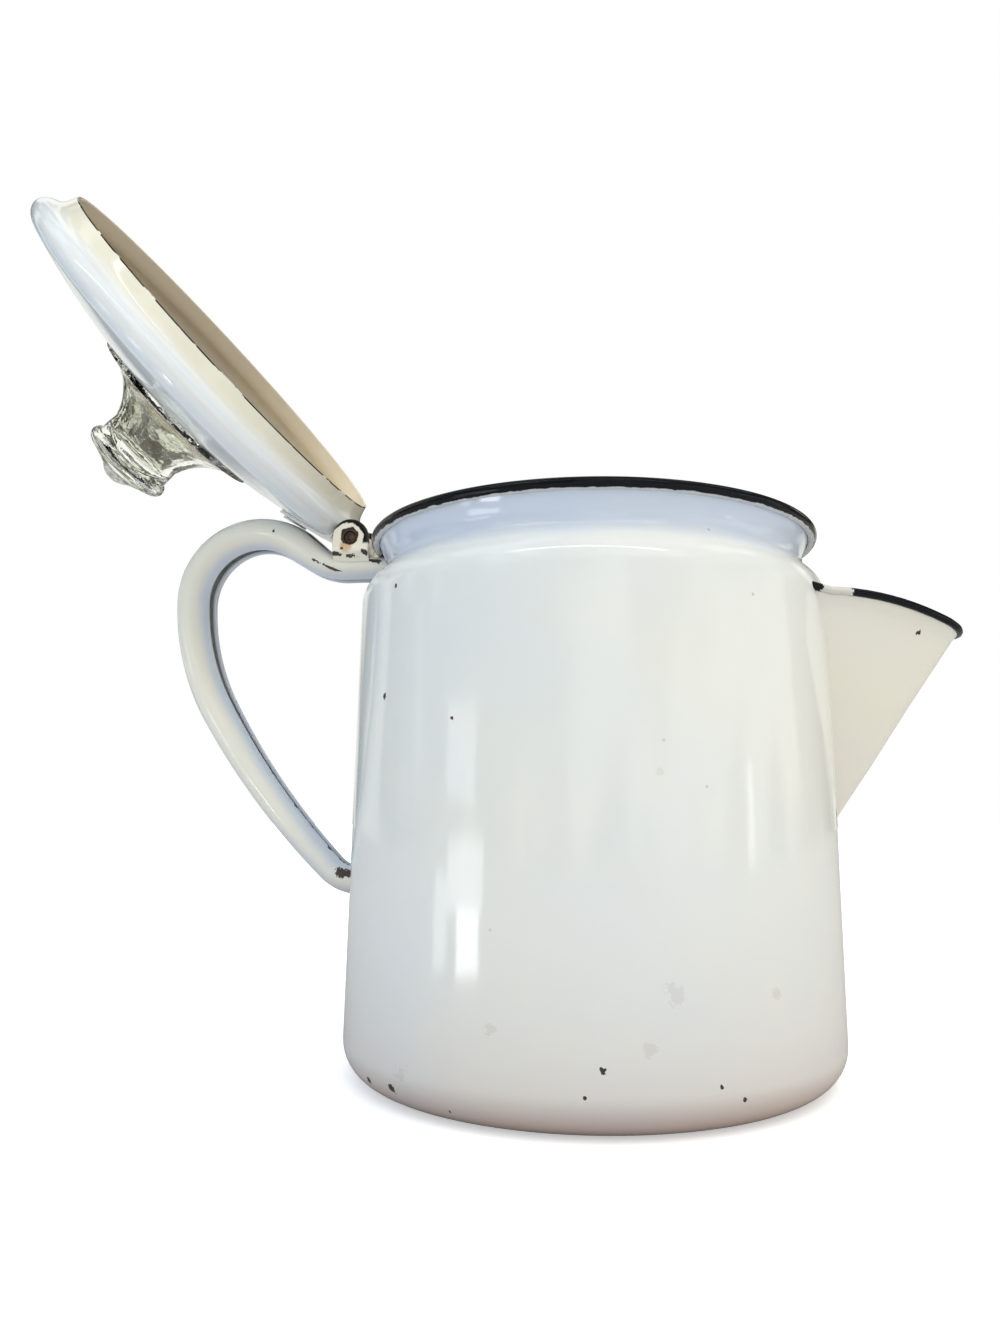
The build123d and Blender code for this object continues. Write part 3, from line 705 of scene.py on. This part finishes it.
bm = bmesh.new()
rows = []
for scale, lift, grow, bow in (
    (SPOUT_FOOT_SCALE, 0, 0, 0), (0.35, 0, 0, 0), (0.65, 0, 0, 0.3 * LIP_BOW),
    (0.985, 0, 0, LIP_BOW), (1.0, 0.35, 0.12, LIP_BOW), (1.0, 1.2, 0.62, LIP_BOW),
    (1.0, LIP_HEIGHT, LIP_FLARE, LIP_BOW),
):
    rows.append(draw_spout_section(bm, scale, lift, grow, bow)[0])
for lower, upper in zip(rows, rows[1:]):
    bmesh.ops.bridge_loops(bm, edges=lower + upper)
bmesh.ops.recalc_face_normals(bm, faces=bm.faces[:])
spout_sheet = link_piece("spout_sheet", bm)
print("spout", len(spout_sheet.data.polygons), "faces before its wall")

# %% [markdown]
# An open sheet has no inside, so Blender can't tell which way its faces look. One face near
# the tip is asked, and all are turned if it looks back at the pot. Then the sheet gets its
# thickness, and what would reach through the pot's wall is cut away.

# %% Spout sheet and lip
bm = bmesh.new()
bm.from_mesh(spout_sheet.data)
bm.normal_update()
turn_outwards(bm, (110, 0, 125), (1, 0, -0.5))
bm.to_mesh(spout_sheet.data)
bm.free()
give_wall(spout_sheet, SHEET)
join_shape(spout_sheet, pot_core, "DIFFERENCE", keep=True)
spout_chip = ((1.1, (104.1, -14.4, 139.0)),)
cream, pale_cream = (0.81, 0.762, 0.65), (0.78, 0.758, 0.695)
spout_white = enamel("spout enamel", spout_chip, specks=False, light=cream, cool=pale_cream)
finish_piece(spout_sheet, "pot", "enamelled_steel", ["spout"], spout_white)


def make_tube(name, points, radius, sides=12):
    """A round rod along a row of points, as a curve with a round bevel made into a mesh."""
    line = bpy.data.curves.new(name, "CURVE")
    line.dimensions = "3D"
    spline = line.splines.new("POLY")
    spline.points.add(len(points) - 1)
    for spot, point in zip(spline.points, points):
        spot.co = (*point, 1)
    line.bevel_depth = radius * MM
    line.bevel_resolution = sides // 4
    line.use_fill_caps = True
    rod = link_object(name, line)
    data = mesh_of(rod)
    bpy.data.objects.remove(rod)
    return link_object(name, data)


bm = bmesh.new()
rim_points = draw_spout_section(bm, 1.0, LIP_HEIGHT - LIP_BEAD / 2, LIP_FLARE - LIP_BEAD / 2, LIP_BOW)[1]
rim_points = [v.co.copy() for v in rim_points]
bm.free()
lip_bead = make_tube("lip_bead", rim_points, LIP_BEAD)
join_shape(lip_bead, pot_core, "DIFFERENCE", keep=True)
lip_chips = ((2.2, (73.0, -33.8, 149.4), (79.0, -31.4, 149.2)), (0.5, (100.0, -18.0, 146.5)))
lip_black = edge_enamel("lip enamel", lip_chips)
finish_piece(lip_bead, "pot", "enamelled_steel", [], lip_black)

# %% [markdown]
# The handle is a strap of sheet rolled to a C, open towards the fingers. It is drawn as one
# row of edges, a circle that isn't closed, which is carried along the handle's line. The
# line is made of straight lengths and round bends. At each step the row is extruded, moved
# or turned with the line, and widened or narrowed a little, and the sheet is thickened last.

# %% Handle strap
HANDLE_ROOT, TONGUE_HEIGHT, TONGUE_END, TONGUE_DEPTH = 66.0, 166.2, 83.9, 8.0
LEAF_WIDTH, EAR_GAP, EAR_THICKNESS = 17.0, 0.4, 2.4
ear_inner = LEAF_WIDTH / 2 + EAR_GAP
ear_outer = ear_inner + EAR_THICKNESS
tongue_size, grip_size, foot_size = (2 * ear_inner, TONGUE_DEPTH), (21.0, 11.6), (16.0, 9.5)
HANDLE_SHEET, SEAM_HALF_TURN = 1.2, 14.5


def extrude_row(bm, row):
    """Extrudes a row of edges. Returns the new row and its points."""
    made = bmesh.ops.extrude_edge_only(bm, edges=row)["geom"]
    edges = [g for g in made if isinstance(g, bmesh.types.BMEdge)]
    return edges, [g for g in made if isinstance(g, bmesh.types.BMVert)]


def strap_place(spot, heading, size):
    """The matrix that lays a unit circle across the handle's line, at its width and depth."""
    along = Vector((cos(radians(heading)), 0, sin(radians(heading))))
    width_way = Vector((0, 1, 0))
    turn = Matrix((width_way, along.cross(width_way), along)).transposed().to_4x4()
    shape = Matrix.Diagonal((size[0] / 2 * MM, size[1] / 2 * MM, MM, 1))
    return Matrix.Translation(spot * MM) @ turn @ shape


def walk(stations, length, turn, size, steps):
    """Adds stations along a straight length, or along a bend when turn isn't zero."""
    spot, heading, first = stations[-1]
    for step in range(1, steps + 1):
        share = step / steps
        bend = turn * share
        reach = length * share if not turn else 2 * length / radians(turn) * sin(radians(bend) / 2)
        aim = radians(heading + bend / 2)
        stations.append((
            spot + Vector((cos(aim), 0, sin(aim))) * reach,
            heading + bend,
            [a + (b - a) * share for a, b in zip(first, size)],
        ))


print("strap", grip_size, "mm at the grip and", foot_size, "mm at the foot")

# %% [markdown]
# The line starts inside the neck, so that the tongue can be cut where it meets the pot. It runs
# out level as the tongue, bends upwards, goes round the crown and comes down as the grip and
# the leg, until the foot bends in to the wall. The length of a bend is its radius times its
# turn. Each piece of the line starts where the last one ended, in the same direction, so the
# line has no kink.

# %% Handle line
RISE_RADIUS, RISE_TURN, CLIMB = 20.0, 36.0, 7.8
CROWN_RADIUS, GRIP_RADIUS, GRIP_TURN, LEG_RADIUS, LEG_TURN = 24.0, 78.0, 30.0, 250.0, 15.4
FOOT_RADIUS, FOOT_TURN, FOOT_REACH = 15.0, 35.0, 6.0
stations = [(Vector((-HANDLE_ROOT, 0, TONGUE_HEIGHT)), 180.0, tongue_size)]
rise_length = RISE_RADIUS * radians(RISE_TURN)
rise_share = rise_length / (rise_length + CLIMB)
rise_size = [a + (b - a) * rise_share for a, b in zip(tongue_size, grip_size)]
walk(stations, TONGUE_END - HANDLE_ROOT, 0, tongue_size, 6)
walk(stations, rise_length, -RISE_TURN, rise_size, 8)
walk(stations, CLIMB, 0, grip_size, 4)
walk(stations, CROWN_RADIUS * radians(90 + RISE_TURN), 90 + RISE_TURN, grip_size, 28)
walk(stations, GRIP_RADIUS * radians(GRIP_TURN), GRIP_TURN, grip_size, 12)
walk(stations, LEG_RADIUS * radians(LEG_TURN), LEG_TURN, foot_size, 14)
walk(stations, FOOT_RADIUS * radians(FOOT_TURN), FOOT_TURN, foot_size, 8)
walk(stations, FOOT_REACH, 0, foot_size, 3)
print("the handle's line has", len(stations), "stations")

# %% [markdown]
# The open circle is now laid at the first station and carried on. What moves it from one
# station to the next is the next station's matrix after the inverse of the last one.

# %% Handle sheet
seam = radians(SEAM_HALF_TURN)
bm = bmesh.new()
start = bm.verts.new((sin(seam), cos(seam), 0))
bmesh.ops.spin(
    bm, geom=[start], cent=(0, 0, 0), axis=(0, 0, -1), dvec=(0, 0, 0),
    angle=radians(360 - 2 * SEAM_HALF_TURN), steps=40,
)
place = strap_place(*stations[0])
bmesh.ops.transform(bm, matrix=place, verts=bm.verts[:])
row = bm.edges[:]
for station in stations[1:]:
    row, points = extrude_row(bm, row)
    next_place = strap_place(*station)
    bmesh.ops.transform(bm, matrix=next_place @ place.inverted(), verts=points)
    place = next_place
bm.normal_update()
turn_outwards(bm, (-145, 0, 150), (-1, 0, 0))
handle_strap = link_piece("handle_strap", bm)
give_wall(handle_strap, HANDLE_SHEET)
round_edges(handle_strap, width=0.35, segments=3, from_angle=50)
join_shape(handle_strap, pot_core, "DIFFERENCE", keep=True)
print("handle", len(handle_strap.data.polygons), "faces")

# %% [markdown]
# The handle's enamel has painted light and shade: a cream painted highlight on the flat front
# and back, and a blue-grey painted shade towards its edges. Its chips are long where it was
# bent, and a row of small ones follows one lip of the seam down the leg. One dark line among
# them is a painted shadow, the gap between the lid's leaf and the tongue.

# %% Handle enamel
SHADED_EDGE_BLUE, LIT_FRONT_CREAM = (0.60, 0.65, 0.74), (0.83, 0.79, 0.68)
SEAM_CHIPS = {64: 0.7, 67: 1.0, 69: 0.6, 71: 1.3, 73: 0.8, 75: 0.9, 77: 0.7, 79: 1.1}
handle_chips_and_gap_shadow = [
    (0.7, (-109.0, -10.5, 178.3)), (2.2, (-82.5, -7.2, 61.8)), (1.8, (-80.4, -6.4, 61.0)),
    (0.6, (-95.1, -9.0, 168.4), (-86.4, -8.3, 164.0)),
    (0.45, (-86.0, -8.2, 164.0), (-78.0, -8.0, 162.9)),
    # Not a chip: a painted shadow of the gap between the lid's leaf and the tongue.
    (0.8, (-98.1, -4.5, 178.2), (-92.3, -4.0, 173.2)),
    (1.0, (-75.5, -8.0, 167.9), (-72.5, -8.5, 167.4)),
]
for index, radius in SEAM_CHIPS.items():
    seam_lip = strap_place(*stations[index]) @ Vector((-sin(seam), cos(seam), 0))
    handle_chips_and_gap_shadow.append((radius, seam_lip / MM))


def paint_handle_light_and_shade(tree, place, colour):
    """Painted light and shade: a cream painted highlight on the flat front and back, and a blue-grey painted
    shade towards the edges.
    """
    across = add_node(tree, "ShaderNodeSeparateXYZ", Vector=place).outputs["Y"]
    across = add_maths(tree, "ABSOLUTE", across)
    across = add_uneven(tree, across, place, 60.0, 3.0, 3.0 * MM)
    # Painted light and shade: the flat faces get the lit cream and the edges the shaded blue.
    thick = add_step(tree, across, 6.5 * MM, 10.8 * MM)
    return mix_colours(tree, 0.85, colour, mix_colours(tree, thick, SHADED_EDGE_BLUE, LIT_FRONT_CREAM))


handle_white = enamel("handle enamel", handle_chips_and_gap_shadow, specks=False, tint=paint_handle_light_and_shade)
finish_piece(handle_strap, "pot", "enamelled_steel", ["handle"], handle_white)

# %% [markdown]
# The hinge is small thick metal that was dipped after it was made, so the enamel rounds every
# edge of it. Its solids have the right outline and bores. A copy of each is merged, remeshed
# into fine even squares and smoothed, which rounds it as the dip did. The lower corners of the
# ears are first sliced off at a slant, so that the enamel seems to run down onto the handle.

# %% Dipped hinge
PIN_X, PIN_HEIGHT, PIN_RADIUS, PIN_RECESS, HINGE_LEAN = -81.8, 175.65, 2.2, 0.5, 2.2
pin_middle = Matrix.Translation((PIN_X * MM, 0, PIN_HEIGHT * MM))
hinge_spot = pin_middle @ Matrix.Rotation(radians(HINGE_LEAN), 4, "X")


def dip(node, name, grain, passes, slices=()):
    """A copy of a solid with its edges rounded by a thick coat, after some flat slices."""
    bm = bmesh.new()
    bm.from_mesh(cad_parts[node].data)
    bmesh.ops.remove_doubles(bm, verts=bm.verts[:], dist=1e-6)
    for spot, away in slices:
        bmesh.ops.bisect_plane(
            bm, geom=bm.verts[:] + bm.edges[:] + bm.faces[:], plane_co=Vector(spot) * MM,
            plane_no=away, clear_outer=True,
        )
        bmesh.ops.holes_fill(bm, edges=[e for e in bm.edges if e.is_boundary])
    piece = link_piece(name, bm)
    mesh_again = piece.modifiers.new("even squares", "REMESH")
    mesh_again.mode = "VOXEL"
    mesh_again.voxel_size = grain * MM
    mesh_again.use_smooth_shade = True
    ease = piece.modifiers.new("dip", "SMOOTH")
    ease.factor, ease.iterations = 0.5, passes
    apply_modifiers(piece)
    return piece


slants = (((0, -ear_outer, 170.4), (0, -0.8, -0.6)), ((0, ear_outer, 170.4), (0, 0.8, -0.6)))
bracket = dip("hinge_bracket", "bracket_dipped", grain=0.22, passes=8, slices=slants)
leaf = dip("lid_hinge_leaf", "leaf_dipped", grain=0.22, passes=3)
rivets = dip("leaf_rivets", "rivets_dipped", grain=0.15, passes=4)
print("dipped", bracket.name, leaf.name, rivets.name)

# %% [markdown]
# The enamel of the ears suffered most. It is worn to black round the upper edge, rusty in the
# mouth of the pin's hole with an orange stain under it, and cracked along the foot of the ears.
# The rings are ragged circles in the plane of the ear, whichever ear it is.

# %% Hinge enamel
WORN_BLACK, MOUTH_BROWN, STAIN_ORANGE = (0.012, 0.011, 0.011), (0.045, 0.030, 0.020), (0.60, 0.30, 0.10)
EAR_CREAM, EAR_GREY = (0.85, 0.80, 0.65), (0.82, 0.78, 0.68)


def wear_ears(tree, place, colour):
    """Dark rings: the worn upper edge of the ears, and the rusty mouth of the pin's hole."""
    flat = add_maths(tree, "MULTIPLY", place, (1, 0, 1), kind=VECTOR)
    rough = add_maths(tree, "MULTIPLY", add_noise(tree, place, 600.0), 1.6 * MM)

    def within(x, z, radius, soft=0.4, inside=1.0, outside=0.0):
        reach = add_maths(tree, "ADD", reach_from(tree, flat, (x, 0, z)), rough)
        return add_step(tree, reach, radius * MM, (radius + soft) * MM, inside, outside)

    stain = within(PIN_X - 1.4, PIN_HEIGHT - 3.4, 1.9, 1.6, inside=0.7)
    colour = mix_colours(tree, stain, colour, STAIN_ORANGE)
    upper = add_step(tree, height_of(tree, place), (PIN_HEIGHT - 3.0) * MM, (PIN_HEIGHT - 2.0) * MM)
    past_edge = within(PIN_X - 0.8, PIN_HEIGHT - 1.0, 6.1, inside=0.0, outside=1.0)
    colour = mix_colours(tree, add_maths(tree, "MULTIPLY", past_edge, upper), colour, WORN_BLACK)
    return mix_colours(tree, within(PIN_X - 0.1, PIN_HEIGHT, 3.7), colour, MOUTH_BROWN)


ear_chips = (
    (0.75, (-87.4, -10.9, 169.7), (-84.0, -11.0, 168.9)), (0.5, (-84.6, -11.4, 171.4)),
    (1.0, (-83.0, -11.0, 168.7), (-75.6, -10.9, 167.3)),
    (0.9, (-77.0, -10.9, 170.4), (-75.6, -10.9, 168.0)),
)
hinge_white = enamel("hinge enamel", specks=False)
ear_white = enamel(
    "ear enamel", ear_chips, specks=False, light=EAR_CREAM, cool=EAR_GREY, tint=wear_ears,
)
finish_piece(bracket, "pot", "enamelled_steel", ["hinge_bracket"], ear_white, angle=180)
finish_piece(leaf, "lid", "enamelled_steel", ["lid_hinge_leaf"], hinge_white, angle=180)
finish_piece(rivets, "lid", "enamelled_steel", ["leaf_rivets"], hinge_white, angle=180)

# %% [markdown]
# The pin is bare steel, peened at both ends and rusty, and it lies a little inside the holes
# of the ears. Rust is never even: it is dark brown where it is old, orange where it is new.

# %% Pin
PIN_ROUND = 0.7
OLD_RUST, NEW_RUST = (0.020, 0.012, 0.009), (0.10, 0.045, 0.02)
rust, tree, shader, place = start_material("rust")
patches = add_step(tree, add_noise(tree, place, 700.0, 5.0), 0.35, 0.7)
colour = mix_colours(tree, patches, OLD_RUST, NEW_RUST)
set_surface(tree, shader, colour, 0.75, patches, 0.6, 0.0004)

pin_end, pin_core = ear_outer - PIN_RECESS, PIN_RADIUS - PIN_ROUND
bm = bmesh.new()
pen = pen_down(bm, 0, -pin_end)
pen = line_to(bm, pen, pin_core, -pin_end, 2)
pen = arc_round(bm, pen, pin_core, PIN_ROUND - pin_end, 90, 5)
pen = line_to(bm, pen, PIN_RADIUS, pin_end - PIN_ROUND, 8)
pen = arc_round(bm, pen, pin_core, pin_end - PIN_ROUND, 90, 5)
line_to(bm, pen, 0, pin_end, 2)
spin_round(bm, 32)
lay = hinge_spot @ Matrix.Rotation(pi / 2, 4, "X")
bmesh.ops.transform(bm, matrix=lay, verts=bm.verts[:])
pin = link_piece("pin_rusty", bm)
finish_piece(pin, "pot", "bare_steel", ["hinge_pin"], rust)

# %% [markdown]
# The lid is drawn closed and flat on its own axis, with zero height at the edge of its skirt,
# and is then turned back about the hinge pin to where it rests in the picture. Its section
# starts at that edge, goes up the skirt to the groove that sits on the rim, round the brim,
# and over the dome to the flat seat of the knob. Two notches in the knob's hole let the lugs
# of the knob through. Each is a sector, spun about the axis by less than a full turn.

# %% Lid section
LID_OPEN_TURN, LID_HEIGHT, LID_SHEET = 130.5, 167.1, 0.9
SKIRT_EDGE, SKIRT_GROOVE, SKIRT_DEPTH, BRIM_LIFT = 68.5, 70.2, 4.8, 1.8
BRIM_RADIUS, BRIM_NOSE, BRIM_TOP_ANGLE = 75.9, 4.4, 70.0
SEAT_RADIUS, SEAT_HEIGHT, KNOB_HOLE = 34.0, 25.6, 25.0
LUG_REACH, LUG_HEIGHT, LUG_TURN, NOTCH_TURN, NOTCH_MIDDLE = 2.8, 2.0, 26.0, 32.0, 60.0
GROOVE_EASE, GROOVE_PASSES = 3.2, 8
opening = hinge_spot @ Matrix.Rotation(radians(-LID_OPEN_TURN), 4, "Y") @ hinge_spot.inverted()
lid_place = opening @ Matrix.Translation((0, 0, LID_HEIGHT * MM))


def draw_dome(bm, pen):
    """Carries the pen round the brim and over the dome to the knob's seat."""
    nose_x, nose_z = BRIM_RADIUS - BRIM_NOSE, SKIRT_DEPTH + BRIM_LIFT + BRIM_NOSE
    pen = arc_round(bm, pen, nose_x, nose_z, 90 + BRIM_TOP_ANGLE, 14)
    return arc_along(bm, pen, 90 + BRIM_TOP_ANGLE, SEAT_RADIUS, SEAT_HEIGHT, 24)


def make_sectors(name, reach, low, high, middle, turn):
    """Two opposite sectors round the upright axis, between two heights, as one mesh."""
    bm = bmesh.new()
    for aim in (middle - turn / 2, middle - turn / 2 + 180):
        before = set(bm.verts)
        pen = pen_down(bm, reach / 2, low)
        for x, z in ((reach, low), (reach, high), (reach / 2, high), (reach / 2, low)):
            pen = line_to(bm, pen, x, z)
        section = [v for v in bm.verts if v not in before]
        bmesh.ops.rotate(bm, verts=section, cent=(0, 0, 0), matrix=Matrix.Rotation(radians(aim), 3, "Z"))
        bmesh.ops.remove_doubles(bm, verts=section, dist=1e-6)
        section = [v for v in bm.verts if v not in before]
        edges = list({e for v in section for e in v.link_edges})
        face = bmesh.ops.contextual_create(bm, geom=edges)["faces"]
        bmesh.ops.spin(
            bm, geom=face + edges + section, cent=(0, 0, 0), axis=(0, 0, 1),
            angle=radians(turn), steps=8, use_duplicate=False,
        )
    bmesh.ops.recalc_face_normals(bm, faces=bm.faces[:])
    return link_piece(name, bm)


bm = bmesh.new()
pen = pen_down(bm, SKIRT_EDGE, 0)
pen = line_to(bm, pen, SKIRT_GROOVE, SKIRT_DEPTH, 8)
groove = pen.co.copy()
pen = line_to(bm, pen, BRIM_RADIUS - BRIM_NOSE, SKIRT_DEPTH + BRIM_LIFT, 3)
pen = draw_dome(bm, pen)
line_to(bm, pen, KNOB_HOLE, SEAT_HEIGHT, 3)
ease_section(bm, groove, GROOVE_EASE, GROOVE_PASSES)
spin_round(bm)
bm.normal_update()
turn_outwards(bm, (55, 0, 24), (0, 0, 1))
lid_dome = link_piece("lid_dome", bm)
give_wall(lid_dome, LID_SHEET)
notch_low, notch_high = SEAT_HEIGHT - 2 * LID_SHEET, SEAT_HEIGHT + LID_SHEET
notches = make_sectors("notches", KNOB_HOLE + LUG_REACH, notch_low, notch_high, NOTCH_MIDDLE, NOTCH_TURN)
join_shape(lid_dome, notches, "DIFFERENCE")
round_edges(lid_dome, width=0.25, segments=2, from_angle=55)
lid_dome.data.transform(lid_place)

# %% [markdown]
# The lid's enamel is cream on the skirt and cooler on the brim, where blue streaks that run round
# it are painted reflections. Inside it is tan, where years of steam have stained it, and painted
# shade makes it darker away from the hinge. Its lower edge is brushed black and has worn off in
# places. All of that follows the lid's own shape, so the place in the pot is first turned back
# into a place in the closed lid. Inside is where a surface looks towards the axis.

# %% Lid enamel
SKIRT_CREAM, BRIM_WHITE, BRIM_REFLECTION_BLUE = (0.82, 0.77, 0.62), (0.77, 0.78, 0.78), (0.66, 0.72, 0.80)
EDGE_BLACK, HINGE_TAN, FAR_SHADED_TAN = (0.012, 0.011, 0.010), (0.87, 0.79, 0.63), (0.60, 0.53, 0.43)


def tint_lid(tree, place, colour):
    """Colours that go round the lid, worked out in the closed lid's own place."""
    back = lid_place.inverted()
    turned = {"Location": back.to_translation(), "Rotation": back.to_euler()}
    local = add_node(tree, "ShaderNodeMapping", Vector=place, **turned).outputs[0]
    height = height_of(tree, local)
    flat = add_maths(tree, "MULTIPLY", local, (1, 1, 0), kind=VECTOR)
    radius = add_maths(tree, "LENGTH", flat, kind=VECTOR)
    rings = add_node(tree, "ShaderNodeCombineXYZ", X=radius, Y=height)
    # Painted reflections: cool blue streaks that run round the brim.
    reflection_streaks = add_step(tree, add_noise(tree, rings.outputs[0], 480.0), 0.35, 0.68)
    brim = mix_colours(tree, reflection_streaks, BRIM_WHITE, BRIM_REFLECTION_BLUE)
    above = add_uneven(tree, height, place, 90.0, 3.0, 2.4 * MM)
    cream = mix_colours(tree, add_step(tree, above, 5.0 * MM, 8.0 * MM), SKIRT_CREAM, brim)
    colour = mix_colours(tree, 0.8, colour, cream)
    black_height = add_step(tree, add_noise(tree, place, 140.0, 4.0), 0.36, 0.48, 0.0, 0.5 * MM)
    below = add_maths(tree, "SUBTRACT", black_height, height)
    return mix_colours(tree, add_step(tree, below, -0.05 * MM, 0.1 * MM), colour, EDGE_BLACK)


def tint_lid_stain_and_shade(tree, place, colour):
    """Tan stain inside the lid, with painted shade that makes it darker away from the hinge."""
    level = add_uneven(tree, height_of(tree, place), place, 30.0, 4.0, 0.03)
    return mix_colours(tree, add_step(tree, level, 0.20, 0.29), HINGE_TAN, FAR_SHADED_TAN)


lid_white = enamel("lid enamel", tint=tint_lid)
lid_tan = enamel("lid enamel inside", tint=tint_lid_stain_and_shade)
lid_axis = lid_place.to_3x3() @ Vector((0, 0, 1))
lid_middle = lid_place @ Vector((0, 0, 0))
nose_level = (SKIRT_DEPTH + BRIM_LIFT + BRIM_NOSE) * MM
for face in lid_dome.data.polygons:
    spoke = face.center - lid_middle
    height = spoke.dot(lid_axis)
    outward = (spoke - lid_axis * height).normalized()
    looks_in = face.normal.dot(outward) < -0.05
    looks_down = face.normal.dot(lid_axis) < -0.5 and height > nose_level
    face.material_index = int(looks_in or looks_down)
finish_piece(lid_dome, "lid", "enamelled_steel", ["lid_shell"], lid_white, lid_tan)

# %% [markdown]
# The knob is pressed glass and hollow, and its two lugs pass the notches of the lid. Real
# pressed glass shows itself through its edges: the walls bend what is behind them, the skin is
# a little uneven and catches the light, and the thick parts are a little green.

# %% Knob
FLANGE_RADIUS, FLANGE_THICKNESS, FLARE_MIDDLE = 32.5, 1.8, (19.5, 8.6)
WAIST_RADIUS, WAIST_HEIGHT = 14.0, 18.5
CAP_RADIUS, CAP_HEIGHT, CAP_EDGE, CAP_TURN = 16.0, 27.5, 2.6, 70.0
TOP_SHOULDER, TOP_SHOULDER_HEIGHT, BUTTON_RADIUS, BUTTON_HEIGHT, KNOB_TOP = 8.5, 32.5, 5.6, 34.0, 36.5
KNOB_GAP, KNOB_WALL, KNOB_HOLLOW_TOP, COLLAR_WALL, COLLAR_DEPTH = 0.3, 3.4, 27.0, 2.4, 3.5
COLLAR_RADIUS = KNOB_HOLE - KNOB_GAP
KNOB_TINT = (0.86, 0.87, 0.80)


def bend_through(first, middle, last):
    """Heading in degrees at the start of the arc through three points."""
    chord = atan2(last[1] - first[1], last[0] - first[0])
    near = atan2(middle[1] - first[1], middle[0] - first[0])
    far = atan2(last[1] - middle[1], last[0] - middle[0])
    return degrees(chord) - degrees(far - near)


bm = bmesh.new()
throat = WAIST_RADIUS - KNOB_WALL
mouth = COLLAR_RADIUS - COLLAR_WALL
pen = pen_down(bm, 0, KNOB_HOLLOW_TOP)
pen = arc_along(bm, pen, 0, throat, KNOB_HOLLOW_TOP - throat / 2, 10)
pen = line_to(bm, pen, throat, WAIST_HEIGHT, 4)
inner_middle = (FLARE_MIDDLE[0] - KNOB_WALL, FLARE_MIDDLE[1] - KNOB_WALL)
leave = bend_through((throat, WAIST_HEIGHT), inner_middle, (mouth, 0))
pen = arc_along(bm, pen, leave, mouth, 0, 12)
pen = line_to(bm, pen, mouth, -COLLAR_DEPTH, 2)
pen = line_to(bm, pen, COLLAR_RADIUS, -COLLAR_DEPTH, 2)
pen = line_to(bm, pen, COLLAR_RADIUS, 0, 2)
pen = line_to(bm, pen, FLANGE_RADIUS, 0, 3)
pen = line_to(bm, pen, FLANGE_RADIUS, FLANGE_THICKNESS, 2)
leave = bend_through((FLANGE_RADIUS, FLANGE_THICKNESS), FLARE_MIDDLE, (WAIST_RADIUS, WAIST_HEIGHT))
pen = arc_along(bm, pen, leave, WAIST_RADIUS, WAIST_HEIGHT, 40)
cap_x = CAP_RADIUS - CAP_EDGE
cap_turn = radians(CAP_TURN)
pen = line_to(bm, pen, cap_x + CAP_EDGE * cos(cap_turn), CAP_HEIGHT - CAP_EDGE * sin(cap_turn), 6)
pen = arc_round(bm, pen, cap_x, CAP_HEIGHT, 2 * CAP_TURN, 12)
pen = line_to(bm, pen, TOP_SHOULDER, TOP_SHOULDER_HEIGHT, 4)
pen = line_to(bm, pen, BUTTON_RADIUS, BUTTON_HEIGHT, 2)
chord = degrees(atan2(KNOB_TOP - BUTTON_HEIGHT, -BUTTON_RADIUS))
arc_along(bm, pen, 2 * chord - 180, 0, KNOB_TOP, 8)
spin_round(bm, 96)
knob_place = lid_place @ Matrix.Translation((0, 0, (SEAT_HEIGHT + KNOB_GAP) * MM))
knob = link_piece("knob_glass", bm)
lugs = make_sectors("lugs", COLLAR_RADIUS + LUG_REACH, -COLLAR_DEPTH, LUG_HEIGHT - COLLAR_DEPTH, 0, LUG_TURN)
hollow = make_sectors("hollow", mouth + COLLAR_WALL / 2, -2 * COLLAR_DEPTH, COLLAR_DEPTH, 0, 2 * LUG_TURN)
join_shape(lugs, hollow, "DIFFERENCE")
join_shape(knob, lugs, "UNION")
knob.data.transform(knob_place)
glass, tree, shader, place = start_material("pressed glass")
set_surface(tree, shader, (*KNOB_TINT, 1), 0.02, add_noise(tree, place, 120.0), 0.5, 0.001)
shader.inputs["Transmission Weight"].default_value = 1.0
shader.inputs["IOR"].default_value = 1.5
finish_piece(knob, "knob", "glass", ["glass_knob"], glass)

# %% [markdown]
# The brewing insert inside the pot is spun aluminium, dull and grey with use. Its solids
# already have their real shape, with every hole, so they stay and only get their finish:
# fine rings from the spinning, and a cloudy film from years of coffee.

# %% Aluminium
CLEAN_METAL, COFFEE_FILM = (0.60, 0.60, 0.60), (0.42, 0.39, 0.35)
aluminium, tree, shader, place = start_material("spun aluminium")
cloud = add_step(tree, add_noise(tree, place, 40.0, 4.0), 0.3, 0.75)
colour = mix_colours(tree, cloud, CLEAN_METAL, COFFEE_FILM)
grain = add_node(tree, "ShaderNodeTexWave", Vector=place, Scale=400.0, Distortion=1.5)
grain.wave_type = "RINGS"
grain.rings_direction = "Z"
roughness = add_maths(tree, "MULTIPLY_ADD", cloud, 0.2, 0.5)
set_surface(tree, shader, colour, roughness, grain.outputs["Fac"], 0.15, 0.0002)
shader.inputs["Metallic"].default_value = 1.0
INSERT = (
    "pump_base", "pump_tube", "basket_stop", "basket_cup", "basket_sleeve",
    "basket_spreader", "spreader_collar",
)
for node in INSERT:
    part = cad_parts[node]
    part.data.materials.clear()
    part.data.materials.append(aluminium)
print("aluminium on", len(INSERT), "solids")

# %% Finish
bpy.data.objects.remove(pot_core)
bpy.context.scene.view_settings.view_transform = "Standard"
